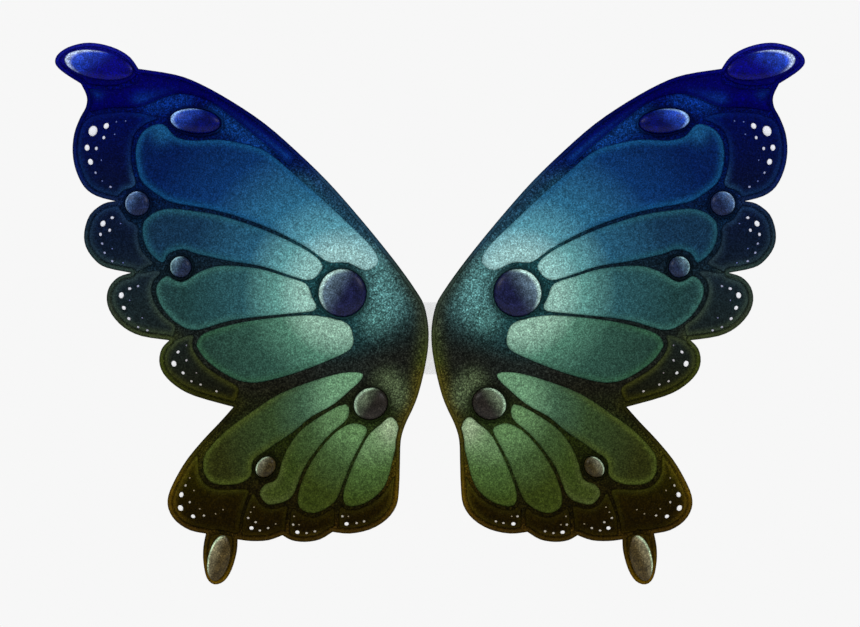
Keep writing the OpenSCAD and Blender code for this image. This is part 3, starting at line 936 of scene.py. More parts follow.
@dataclass(frozen=True)
class Moulded(Finish):
    """Moulded plastic or plain metal of one shade, with smudges and a fine grain.

    Args:
        shade: the surface's colour.
        worn: the colour where hands have rubbed it.
        metal: how metallic it is.
        clear: how much light passes through it.
    """

    shade: str = "808080"
    worn: str = "909090"
    metal: float = 0.0
    clear: float = 0.0

    def material(self) -> bpy.types.Material:
        """Makes the finish.

        Returns:
            The material.
        """
        graph, shader, place, material = self.start()
        marks = graph.add("ShaderNodeGroup", {"Vector": place}, node_tree=Groups.wear)
        colour = graph.mix(marks.outputs["Mask"], (*linear(self.shade), 1), (*linear(self.worn), 1))
        graph.link(colour, shader.inputs["Base Color"])
        rough = graph.ramp(marks.outputs["Mask"], 0, 1, self.roughness, min(1, self.roughness + 0.12))
        graph.link(rough, shader.inputs["Roughness"])
        shader.inputs["Metallic"].default_value = self.metal
        shader.inputs["Alpha"].default_value = 1 - self.clear
        self.relief(graph, shader, marks.outputs["Height"])
        return material


@dataclass(frozen=True)
class Webbing(Finish):
    """Woven cloth of one shade, its ribs following the piece's own across and along values, with a painted
    highlight on top of the ribs.

    Args:
        shade: the yarn's colour.
        light: the colour on top of the ribs, a painted highlight over the yarn's colour.
        pitch: the ribs' pitch in millimetres.
        sheen: strength of the cloth's sheen.
    """

    shade: str = "202022"
    light: str = "3a3a3d"
    pitch: float = 1.2
    sheen: float = 0.3

    def material(self) -> bpy.types.Material:
        """Makes the finish.

        Returns:
            The material.
        """
        graph, shader, place, material = self.start()
        inputs = {
            key: graph.add("ShaderNodeAttribute", attribute_name=key.lower()).outputs["Fac"]
            for key in ("Across", "Along")
        }
        weave = graph.add("ShaderNodeGroup", {**inputs, "Pitch": self.pitch * MM}, node_tree=Groups.weave)
        ribs = graph.math("MULTIPLY", weave.outputs["Height"], 0.8)
        fuzz = graph.math("MULTIPLY", graph.noise(place, 1500, 2), 0.2)
        height = graph.math("ADD", ribs, fuzz)
        # painted highlight: lighter on top of the ribs, painted shade darker in the valleys between them
        share = graph.ramp(height, 0.25, 0.95)
        colour = graph.mix(share, (*linear(self.shade), 1), (*linear(self.light), 1))
        graph.link(colour, shader.inputs["Base Color"])
        rough = graph.ramp(height, 0, 1, self.roughness, 0.85 * self.roughness)
        graph.link(rough, shader.inputs["Roughness"])
        shader.inputs["Sheen Weight"].default_value = self.sheen
        self.relief(graph, shader, height)
        return material


class Wardrobe:
    """The object's finishes, each made once."""

    cell: bpy.types.Material = PaintedCloth("airbrushed_cell", 0.62, 0.02, 0.08, 0.85, 1.0).material()
    base: bpy.types.Material = PaintedCloth("printed_sheet", 0.7, 0.02, 0.06, 1.6, 1.0, 0.8).material()
    tape: bpy.types.Material = PaintedCloth("folded_tape", 0.6, 0.02, 0.05, 0.8, 0.35, 0.5).material()
    piping: bpy.types.Material = PaintedCloth("twisted_piping", 0.6, 0.02, 0.04, 0.5, 0.1, 0.4).material()
    gem: bpy.types.Material = MottledGloss("mottled_cabochon", 0.36, 0.12, 0.03, 1.1).material()
    pearl: bpy.types.Material = MottledGloss("satin_pearl", 0.4, 0.3, 0.01, 0.0).material()
    batten: bpy.types.Material = Moulded("fibre_strip", 0.5, 0.3, 0.05, "b8bab4", "a2a49e").material()
    leaf: bpy.types.Material = Moulded("hinge_nylon", 0.42, 0.4, 0.03, "cfd2d6", "bcc0c4").material()
    rivet: bpy.types.Material = Moulded("rivet_metal", 0.3, 0.5, 0.01, "c4c4c8", "a8a8ac", 1.0).material()
    pin: bpy.types.Material = Moulded("ground_pin", 0.24, 0.5, 0.01, "b4b4b8", "9c9ca0", 1.0).material()
    wire: bpy.types.Material = Moulded("edge_wire", 0.3, 0.5, 0.01, "a8a8ae", "8c8c92", 1.0).material()
    plate: bpy.types.Material = Moulded(
        "clear_plate", 0.08, 0.5, 0.01, "eef3f6", "e4eaee", 0.0, 0.85,
    ).material()
    slider: bpy.types.Material = Moulded("slider_plastic", 0.45, 0.4, 0.03, "1c1c1f", "2c2c30").material()
    # the second colour is the painted highlight on the ribs
    strap: bpy.types.Material = Webbing("ribbed_elastic", 0.75, 0.2, 0.25, "141416", "2c2c30", 1.1).material()


def dress(piece: bpy.types.Object, material: bpy.types.Material) -> None:
    """Gives every face of the piece one material."""
    piece.data.materials.clear()
    piece.data.materials.append(material)


def on_both_wings(
    mesh: Mesh, node: str, made_of: str, material: bpy.types.Material,
) -> dict[Side, bpy.types.Object]:
    """Builds a mesh on each wing in place of a CAD node, and rides it on that wing.

    Args:
        mesh: the mesh as it is on the right wing.
        node: the node's name without its side.
        made_of: the word that the piece's name ends with.
        material: the finish.

    Returns:
        The pieces by side.
    """
    made = {}
    for side in Side:
        name = f"{side.tag}_{node}"
        piece = mesh.on(side).build(f"{name}_{made_of}")
        dress(piece, material)
        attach(piece, side.body)
        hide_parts(name)
        log.info("%s: %d points", piece.name, len(mesh.points))
        made[side] = piece
    return made


# --------------------------------------------------------------------------- the wings


ROOT_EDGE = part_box("right_edge_binding")[0].x / MM


def wing_places(flat: Array) -> Array:
    """Rows of outboard, up in millimetres for rows of x, z in metres on the right wing."""
    return flat / MM - (ROOT_EDGE, 0)


# The cells' seams, which share the gaps between them, and the outlines that no bulge may reach:
# the rings, the tape, and the two cabochons that have no ring
SEAMS = [Outline.of_face(f"right_{node}") for node in CELLS]
FIRM = [
    Outline.of_face("right_bezels"), Outline.of_face("right_edge_binding"),
    Outline.of_face("right_tip_cabochon", at_front=False),
    Outline.of_face("right_tail_cabochon", at_front=False),
]


@dataclass
class PuffedCells:
    """The cloth cells of one CAD node: soft appliques over wadding, crowned and rounded at the rim.

    Args:
        node: the node's name without its side.
        slot: a name for its cloth; not used.
        pitch: size of a grid cell in millimetres.
        rim: height of the sewn-down rim in millimetres.
        rise: how much higher the middle stands, in millimetres.
        shoulder: width of the rounded shoulder in millimetres.
        crown: extra height that the middle of a broad cell gains, in millimetres.
    """

    node: str
    slot: str
    pitch: float = 1.35
    rim: float = 0.9
    rise: float = 1.9
    shoulder: float = 6.5
    crown: float = 0.9

    def height(self, distance: Array, flat: Array) -> Array:
        """Height of the front above the sheet.

        The shoulder is a quarter of an ellipse; the crown is one minus a falling exponential; a
        slow product of sines leaves the slight unevenness of hand-stuffed cloth.

        Args:
            distance: distance from the rim in metres.
            flat: rows of x, z in metres.

        Returns:
            Heights in metres.
        """
        d = distance / MM
        share = np.clip(d / self.shoulder, 0, 1)
        lift = np.sqrt(1 - (1 - share) ** 2)
        x, z = (flat / MM).T
        wave = np.sin(x / 9.1 + z / 23) * np.sin(z / 7.7 - x / 19)
        broad = self.crown * (1 - np.exp(-d / 22))
        return (self.rim + self.rise * lift + broad + 0.12 * wave * share) * MM

    def spread(self, loop: Array) -> Array:
        """How far the stuffed cloth bulges beyond its seam, towards a neighbour that is near.

        Half of what the gap has above the vein's width, at most 3.2 mm, none where the gap is broad,
        and never closer than 0.9 mm to a ring or the tape. A vein widens from 3 mm at the roots.

        Args:
            loop: rows of x, z of one cell's seam.

        Returns:
            The bulges in metres.
        """
        places = wing_places(loop)
        reach = np.minimum(np.hypot(*(places - ROOT).T), np.hypot(*(places - HIND_ROOT).T))
        vein = 3.0 + 2.2 * smooth(60, 210, reach)
        gap = np.full(len(loop), 1e3)
        for outline in SEAMS:
            for other in outline.loops():
                if np.abs(other.mean(axis=0) - loop.mean(axis=0)).max() < 1e-4:
                    continue
                ring = Outline(other, np.roll(other, -1, axis=0))
                gap = np.minimum(gap, np.abs(ring.nearest(loop)[0]) / MM)
        room = np.full(len(loop), 1e3)
        for outline in FIRM:
            room = np.minimum(room, np.abs(outline.nearest(loop)[0]) / MM)
        bulge = np.clip((gap - vein) / 2, 0, 3.2) * (1 - smooth(11, 16, gap))
        bulge = np.minimum(bulge, np.maximum(room - 0.9, 0))
        for _ in range(4):
            bulge = np.minimum(bulge, (np.roll(bulge, 1) + bulge + np.roll(bulge, -1)) / 3)
        return bulge * MM

    def make(self) -> tuple[Relief, Array]:
        """Builds the cells on both wings.

        Returns:
            The relief that they were made from, and its height at each grid point.
        """
        outline = Outline.of_face(f"right_{self.node}").grown(self.spread)
        relief = Relief(outline, self.pitch * MM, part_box(f"right_{self.node}")[1].y)
        height = relief.smoothed(self.height(relief.distance, relief.flat), 6)
        tint = CELLS[self.node].tint(wing_places(relief.flat), relief.distance / MM)
        mesh = relief.mesh(height, {"tint": tint})
        for piece in on_both_wings(mesh, self.node, "cloth", Wardrobe.cell).values():
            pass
        return relief, height


@dataclass(frozen=True)
class GemPaint:
    """The colours of one cabochon, all painted light: its lit body, its shaded body and a painted highlight
    at its outer edge.
    """

    # painted light: the lit side, the shaded side and a painted highlight near the edge
    lit: str
    shaded: str
    highlight_crescent: str


@dataclass
class Cabochons:
    """The cabochons of one CAD node, as smooth domes on the ellipses that the node stands on.

    Args:
        node: the node's name without its side.
        slot: a name for them; not used.
        paints: one paint for each cabochon, from the outermost inwards.
        square: how full the dome is; 2 is an ellipse and more is fuller.
    """

    node: str
    slot: str
    paints: tuple[GemPaint, ...]
    square: float = 2.3
    # direction of the painted light on the domes, outboard and up
    LIGHT = (0.86, 0.51)

    def mesh(self) -> Mesh:
        """All domes of the node on the right wing.

        Returns:
            One mesh.
        """
        outline = Outline.of_face(f"right_{self.node}", at_front=False)
        loops = sorted(outline.loops(), key=lambda p: -p[:, 0].mean())
        low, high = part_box(f"right_{self.node}")
        domes = [self.dome(loop, high.y, high.y - low.y, paint) for loop, paint in zip(loops, self.paints)]
        return joined(domes)

    def dome(self, loop: Array, base: float, height: float, paint: GemPaint) -> Mesh:
        """One dome.

        The plan is the loop's own ellipse, found from the spread of its points. Each ring is the
        ellipse times cos(t), raised by height times sin(t) to the power 2 over the fullness, for t
        from 0 at the foot to a quarter turn at the top; one more ring closes the flat foot.

        Args:
            loop: the foot's outline as rows of x, z.
            base: depth of the foot.
            height: how far the dome stands out.
            paint: its colours.

        Returns:
            The closed mesh.
        """
        middle = (loop.min(axis=0) + loop.max(axis=0)) / 2
        off = loop - middle
        axis = np.linalg.eigh(off.T @ off)[1][:, ::-1]
        axis = axis * np.where(axis[0] < 0, -1, 1)
        half = np.abs(off @ axis).max(axis=0)
        rings, steps = 22, 56
        t = (np.arange(rings) / rings * math.pi / 2)[:, None]
        a = around(steps)[None, :]
        spread = np.cos(t) ** (2 / self.square)
        local = np.stack([spread * np.cos(a), spread * np.sin(a)], axis=-1)
        flat = middle + (local * half) @ axis.T
        lift = np.broadcast_to(height * np.sin(t) ** (2 / self.square), flat.shape[:2])
        top = np.array([[middle[0], base - height, middle[1]]])
        points = np.stack([flat[..., 0], base - lift, flat[..., 1]], axis=-1).reshape(-1, 3)
        points = np.concatenate([points, top, [[middle[0], base, middle[1]]]])
        faces = grid_faces(rings, steps, False, True)
        turn = np.arange(steps)
        last = (rings - 1) * steps
        cap = np.column_stack([last + turn, np.full(steps, rings * steps), last + (turn + 1) % steps])
        foot = np.column_stack([(turn + 1) % steps, np.full(steps, rings * steps + 1), turn])
        if np.linalg.det(axis) > 0:
            faces, cap, foot = faces[:, ::-1], cap[:, ::-1], foot[:, ::-1]
        round_places = np.concatenate([
            (points[:-2][:, [0, 2]] - middle) / half.mean(), [[0, 0], [0, 0]],
        ])
        unit = np.concatenate([local.reshape(-1, 2), [[0, 0], [0, 0]]])
        tint = self.colours(unit, unit @ (axis.T), round_places, paint)
        return Mesh(points, [faces, cap, foot], {"tint": tint})

    def colours(self, unit: Array, turned: Array, spread: Array, paint: GemPaint) -> Array:
        """The painted light: lighter towards the outer, upper side and painted shade away from it, a painted
        highlight just inside the edge on that side, and painted shade at the very edge.

        Args:
            unit: places on the unit disc along the dome's own axes.
            turned: the same, with outboard and up as axes.
            spread: places relative to the mean half size; not used.
            paint: the colours.

        Returns:
            Rows of linear red, green, blue.
        """
        toward = turned @ np.array(self.LIGHT)
        radius = np.hypot(*unit.T)
        # painted light and painted shade: lighter towards LIGHT, darker away from it
        lit = smooth(-0.25, 0.95, toward)[:, None]
        base = between(paint.shaded, paint.lit, lit)
        shifted = np.hypot(*(turned + 0.13 * np.array(self.LIGHT)).T)
        # painted highlight: an arc just inside the edge on the lit side
        highlight_crescent = smooth(0.87, 1.06, shifted) * smooth(0.1, 0.7, toward) * (1 - smooth(0.98, 1.0, radius))
        highlight_crescent = highlight_crescent[:, None]
        made = base * (1 - highlight_crescent) + np.array(linear(paint.highlight_crescent)) * highlight_crescent
        # painted shade: darker towards the dome's very edge
        return made * (0.45 + 0.55 * (1 - smooth(0.93, 1.0, radius)))[:, None]

    def make(self) -> None:
        """Builds the domes on both wings."""
        on_both_wings(self.mesh(), self.node, "dome", Wardrobe.gem)


def profile_along(path: Array, normals: Array, profile: Array, closed: bool) -> tuple[Array, Array]:
    """Carries a closed profile along a path in the wing's plane.

    A point is path + normal * across, at the depth that the profile gives.

    Args:
        path: rows of x, z.
        normals: unit rows pointing into the piece, in the same plane.
        profile: rows of across, depth.
        closed: whether the path is a loop.

    Returns:
        The points, path point by path point, and the quads.
    """
    flat = path[:, None] + normals[:, None] * profile[None, :, :1]
    depth = np.broadcast_to(profile[None, :, 1], flat.shape[:2])
    points = np.stack([flat[..., 0], depth, flat[..., 1]], axis=-1).reshape(-1, 3)
    return points, grid_faces(len(path), len(profile), closed, True)


@dataclass
class FoldedTape:
    """The tape round a wing: one strip folded over the edge wire, its front stitched along the inside.

    Args:
        width: width of the folded tape in millimetres.
        pitch: spacing of the sections along the edge in millimetres.
        stitch: spacing of the stitches in millimetres.
        inset: distance of the stitch line from the edge in millimetres.
    """

    width: float = 5.0
    pitch: float = 2.2
    stitch: float = 3.4
    inset: float = 4.1

    def path(self) -> tuple[Array, Array]:
        """The wing's edge as sections, with their inward normals.

        The edge's longest loop is cut into even steps. Where it turns inwards at a notch, the
        section is repeated with its normal swung from one side to the other.

        Returns:
            Rows of x, z, and unit rows pointing into the wing.
        """
        loop = Outline.of_face("right_edge_binding").loops()[0]
        way = np.roll(loop, -1, axis=0) - loop
        length = np.hypot(*way.T)
        steps = np.maximum(1, np.round(length / (self.pitch * MM)).astype(int))
        owner = np.repeat(np.arange(len(loop)), steps)
        share = (np.arange(len(owner)) - np.repeat(np.cumsum(steps) - steps, steps)) / steps[owner]
        path = loop[owner] + way[owner] * share[:, None]
        ahead = np.roll(path, -1, axis=0) - path
        angle = np.arctan2(ahead[:, 1], ahead[:, 0])
        before = np.roll(angle, 1)
        turn = (angle - before + math.pi) % (2 * math.pi) - math.pi
        copies = np.where(turn < -0.5, np.ceil(-turn / 0.22).astype(int) + 1, 1)
        owner = np.repeat(np.arange(len(path)), copies)
        place = np.arange(len(owner)) - np.repeat(np.cumsum(copies) - copies, copies)
        share = np.where(copies[owner] > 1, place / np.maximum(copies[owner] - 1, 1), 0.5)
        heading = before[owner] + turn[owner] * share
        return path[owner], np.column_stack([-np.sin(heading), np.cos(heading)])

    def profile(self) -> Array:
        """The folded strip's section, from the inner front edge round the fold to the inner back one.

        Returns:
            Rows of across, depth, in metres.
        """
        front, back = (corner.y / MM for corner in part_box("right_edge_binding"))
        half = (front + back) / 2
        w = self.width
        rows = [
            (w, front + 0.9), (w, front + 0.25), (w - 0.25, front + 0.02), (w - 0.6, front + 0.05),
            (self.inset, front + 0.22), (self.inset - 0.4, front + 0.02), (2.4, front - 0.12),
            (1.2, front - 0.02), (0.5, front + 0.3), (0.1, front + 0.8), (0, half), (0.12, back - 0.5),
            (0.6, back - 0.1), (1.6, back), (w - 0.5, back), (w, back - 0.3), (w, front + 1.2),
        ]
        return np.array(rows) * MM

    def stitches(self, path: Array, normals: Array) -> Mesh:
        """The front stitches: short slim lozenges of thread, end to end along the stitch line.

        Args:
            path: the edge's sections.
            normals: their inward normals.

        Returns:
            One mesh of all stitches, six-sided and pointed at both ends.
        """
        line = path + normals * (self.inset * MM)
        step = np.hypot(*(np.roll(line, -1, axis=0) - line).T)
        along = np.concatenate([[0], np.cumsum(step)])
        count = int(along[-1] / (self.stitch * MM))
        at = (np.arange(count) + 0.5) / count * along[-1]
        closed = np.concatenate([line, line[:1]])
        middle, ahead = (
            np.column_stack([np.interp(spot, along, closed[:, k]) for k in (0, 1)])
            for spot in (at, at + 0.2 * MM)
        )
        way = (ahead - middle) / np.maximum(np.hypot(*(ahead - middle).T), 1e-9)[:, None]
        across = np.column_stack([-way[:, 1], way[:, 0]])
        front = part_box("right_edge_binding")[0].y
        reach = np.array([-1.35, -0.8, 0.8, 1.35]) * MM
        thick = np.array([0.06, 0.24, 0.24, 0.06]) * MM
        a = around(6)
        flat = (middle[:, None, None] + way[:, None, None] * reach[None, :, None, None]
                + across[:, None, None] * (thick[:, None] * np.cos(a))[None, :, :, None])
        depth = front + 0.12 * MM - 0.9 * (thick[:, None] * np.sin(a))[None]
        depth = np.broadcast_to(depth, flat.shape[:3])
        points = np.stack([flat[..., 0], depth, flat[..., 1]], axis=-1).reshape(-1, 3)
        tube = grid_faces(4, 6, False, True)
        ends = np.array([[5, 4, 3, 2], [5, 2, 1, 0], [18, 19, 20, 21], [18, 21, 22, 23]])
        base = (np.arange(count) * 24)[:, None, None]
        faces = (np.concatenate([tube, ends])[None] + base).reshape(-1, 4)
        tint = 0.7 * np.repeat(TAPE_PAINT(wing_places(middle)), 24, axis=0) + 0.004
        return Mesh(points, [faces[:, ::-1]], {"tint": tint})

    def make(self) -> dict[Side, list[bpy.types.Object]]:
        """Builds the tape and its stitches on both wings.

        Returns:
            The tape and the stitches of each side.
        """
        path, normals = self.path()
        profile = self.profile()
        points, faces = profile_along(path, normals, profile, True)
        places = wing_places(points[:, [0, 2]])
        across = np.tile(profile[:, 0] / MM, len(path))
        # painted shade on the rolled fold and the inner edge, and a painted highlight on the flat band
        # between them
        shade = 0.72 + 0.5 * smooth(0.2, 1.6, across) * (1 - smooth(2.4, 4.6, across))
        tape = Mesh(points, [faces], {"tint": TAPE_PAINT(places) * shade[:, None]})
        seam = self.stitches(path, normals)
        made = {}
        for side, piece in on_both_wings(tape, "edge_binding", "tape", Wardrobe.tape).items():
            thread = seam.on(side).build(f"{side.tag}_edge_binding_stitches")
            dress(thread, Wardrobe.tape)
            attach(thread, side.body)
            made[side] = [piece, thread]
        return made


@dataclass
class WingSheet:
    """The printed base cloth, stretched on the edge wire, with slight puckers beside the cells.

    Args:
        pitch: size of a grid cell in millimetres.
        pucker: height of the puckers in millimetres.
    """

    pitch: float = 2.4
    pucker: float = 0.12

    def make(self, tape: dict[Side, list[bpy.types.Object]]) -> None:
        """Builds the sheet on both wings.

        Args:
            tape: the tape pieces by side; not used.
        """
        node = "wing_sheet"
        low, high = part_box(f"right_{node}")
        relief = Relief(Outline.of_face(f"right_{node}"), self.pitch * MM, high.y)
        x, z = (relief.flat / MM).T
        wave = np.sin(x / 4.3 + z / 9) * np.sin(z / 5.1 - x / 13)
        height = (high.y - low.y) + self.pucker * MM * wave * smooth(0, 6, relief.distance / MM)
        places = wing_places(relief.flat)
        edge = (0.8 * np.exp(-(relief.distance / MM / 11) ** 2))[:, None]
        mesh = relief.mesh(height, {"tint": SHEET_PAINT(places) * (1 - edge) + TAPE_PAINT(places) * edge})
        for side, piece in on_both_wings(mesh, node, "cloth", Wardrobe.base).items():
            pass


@dataclass
class Bezels:
    """The padded rings round the cabochons: two-strand piping cord laid in an ellipse, tinted darker than the
    sheet as painted shade round each cabochon.

    Args:
        strands: strands of the twist.
        twist: length of one turn of the twist in millimetres.
    """

    strands: int = 2
    twist: float = 6.5

    @staticmethod
    def reach(outline: Array, angles: Array) -> Array:
        """How far an outline lies from its middle in each direction.

        Args:
            outline: the outline's points, relative to the middle.
            angles: the directions, in radians.

        Returns:
            The distances.
        """
        angle = np.arctan2(*outline.T[::-1]) % (2 * math.pi)
        order = np.argsort(angle)
        return np.interp(angles, angle[order], np.hypot(*outline.T)[order], period=2 * math.pi)

    def ring(self, loop: Array, inner: Array, base: float, height: float) -> Mesh:
        """One ring.

        Its middle line is halfway between the two outlines. Its section's radius is
        1 + 0.09 cos(strands * (angle - way round)), times half the ring's width across and half its
        height in depth.

        Args:
            loop: the ring's outer outline.
            inner: the ring's inner outline.
            base: depth of the sheet.
            height: how far the ring stands out.

        Returns:
            The closed mesh.
        """
        middle = (loop.min(axis=0) + loop.max(axis=0)) / 2
        steps = max(120, int(len(loop) * 4))
        a = around(steps)

        outer_reach, inner_reach = self.reach(loop - middle, a), self.reach(inner - middle, a)
        way = np.column_stack([np.cos(a), np.sin(a)])
        centre_reach, half = (outer_reach + inner_reach) / 2, (outer_reach - inner_reach) / 2
        length = 2 * math.pi * centre_reach.mean() / MM
        turns = max(6, round(length / self.twist))
        section = around(12)
        swell = 1 + 0.09 * np.cos(self.strands * section[None] - turns * a[:, None])
        across = centre_reach[:, None] + half[:, None] * np.cos(section)[None] * swell * 1.02
        depth = base - height / 2 + height / 2 * np.sin(section)[None] * swell
        flat = middle + across[..., None] * way[:, None]
        points = np.stack([flat[..., 0], depth, flat[..., 1]], axis=-1).reshape(-1, 3)
        # painted shade: darker in the valleys between the twisted strands
        strand_valley_shade = 0.55 + 0.45 * smooth(0.93, 1.07, swell.reshape(-1))
        # painted shade: the sheet's colour darkened to 0.8 all round the ring
        tint = SHEET_PAINT(wing_places(points[:, [0, 2]])) * 0.8 * strand_valley_shade[:, None]
        return Mesh(points, [grid_faces(steps, 12, True, True)], {"tint": tint})

    def make(self) -> None:
        """Builds the rings on both wings."""
        low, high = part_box("right_bezels")
        loops = Outline.of_face("right_bezels").loops()
        centres = np.array([(p.min(axis=0) + p.max(axis=0)) / 2 for p in loops])
        sizes = np.array([np.ptp(p, axis=0).sum() for p in loops])
        rings, used = [], set()
        for i in np.argsort(-sizes):
            if i in used:
                continue
            gaps = np.hypot(*(centres - centres[i]).T)
            gaps[i] = 1
            mate = int(gaps.argmin())
            used |= {int(i), mate}
            rings.append(self.ring(loops[i], loops[mate], high.y, high.y - low.y))
        log.info("bezels: %d rings on each wing", len(rings))
        on_both_wings(joined(rings), "bezels", "piping", Wardrobe.piping)


@dataclass
class Pearls:
    """The glued dots along the lobes: shallow domes, longer along the lobe's edge than across it.

    Args:
        stretch: how much longer than wide a dot is.
        sides: points round a dot.
    """

    stretch: float = 1.24
    sides: int = 14

    def make(self, lobes: list[tuple[Relief, Array]]) -> None:
        """Builds the dots on both wings, each standing on the cloth below it.

        Args:
            lobes: the relief of each lobe node, with its height at each grid point.
        """
        node = "right_pearls"
        low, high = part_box(node)
        loops = Outline.of_face(node, at_front=False).loops()
        centre = np.array([(p.min(axis=0) + p.max(axis=0)) / 2 for p in loops])
        radius = np.array([np.ptp(p, axis=0).mean() / 2 for p in loops])
        flat = np.concatenate([relief.flat for relief, _ in lobes])
        lift = np.concatenate([height for _, height in lobes])
        near = ((centre[:, None] - flat[None]) ** 2).sum(axis=2)
        below = near.argmin(axis=1)
        edge = Outline.of_face("right_edge_binding")
        foot = edge.nearest(centre)[1] - centre
        outward = foot / np.maximum(np.hypot(*foot.T), 1e-9)[:, None]
        long = np.column_stack([-outward[:, 1], outward[:, 0]])
        base = lobes[0][0].back - lift[below] + 0.35 * MM
        a = around(self.sides)
        t = np.array([0, 0.55, 1.05])
        spread, rise = np.cos(t), np.sin(t)
        root = math.sqrt(self.stretch)
        local = (long[:, None, None] * (root * np.cos(a))[None, None, :, None]
                 + outward[:, None, None] * (np.sin(a) / root)[None, None, :, None])
        place = centre[:, None, None] + local * (radius[:, None] * spread)[:, :, None, None]
        tall = (0.5 + 0.42 * radius / MM) * MM
        depth = base[:, None] - tall[:, None] * rise
        depth = np.broadcast_to(depth[:, :, None], place.shape[:3])
        rings = np.stack([place[..., 0], depth, place[..., 1]], axis=-1).reshape(len(centre), -1, 3)
        top = np.column_stack([centre[:, 0], base - tall, centre[:, 1]])[:, None]
        under = np.column_stack([centre[:, 0], base, centre[:, 1]])[:, None]
        points = np.concatenate([rings, top, under], axis=1)
        n = self.sides
        turn = np.arange(n)
        tube = grid_faces(3, n, False, True)
        cap = np.column_stack([2 * n + turn, np.full(n, 3 * n), 2 * n + (turn + 1) % n])
        foot = np.column_stack([(turn + 1) % n, np.full(n, 3 * n + 1), turn])
        start = (np.arange(len(centre)) * (3 * n + 2))[:, None, None]
        faces = [(f[None] + start).reshape(-1, f.shape[1]) for f in (tube, cap, foot)]
        high_up = smooth(-120, 120, centre[:, 1] / MM)[:, None]
        pale = between("ffffff", "f4f7ff", high_up)
        faint = between("94866a", "5a6cb0", high_up)
        share = smooth(0.9, 2.6, radius / MM)[:, None]
        shade = faint * (1 - share) + pale * share
        mesh = Mesh(points.reshape(-1, 3), faces, {"tint": np.repeat(shade, 3 * n + 2, axis=0)})
        log.info("pearls: %d dots on each wing", len(centre))
        on_both_wings(mesh, "pearls", "dots", Wardrobe.pearl)


# --------------------------------------------------------------------------- pads and straps


@dataclass(frozen=True)
class SpacerMesh(Finish):
    """Air mesh over foam: round holes in rows, darker inside than the knitted face as painted shade in the
    holes.

    Args:
        shade: the knitted face's colour.
        hole: the colour inside the holes, a painted shade.
        pitch: spacing of the holes in millimetres.
    """

    shade: str = "2c2c30"
    hole: str = "0c0c0e"
    pitch: float = 2.6

    def material(self) -> bpy.types.Material:
        """Makes the finish.

        Returns:
            The material.
        """
        graph, shader, place, material = self.start()
        inputs = {"Vector": place, "Scale": 1 / (self.pitch * MM), "Randomness": 0.12}
        near = graph.add("ShaderNodeTexVoronoi", inputs).outputs["Distance"]
        face = graph.ramp(near, 0.22, 0.42)
        # painted shade: the holes darker than the knitted face
        colour = graph.mix(face, (*linear(self.hole), 1), (*linear(self.shade), 1))
        fuzz = graph.noise(place, 1300, 2)
        share = graph.ramp(fuzz, 0.3, 0.8, 0.0, 0.5)
        graph.link(graph.mix(share, colour, (*linear("46464c"), 1)), shader.inputs["Base Color"])
        shader.inputs["Sheen Weight"].default_value = 0.3
        self.relief(graph, shader, face)
        return material


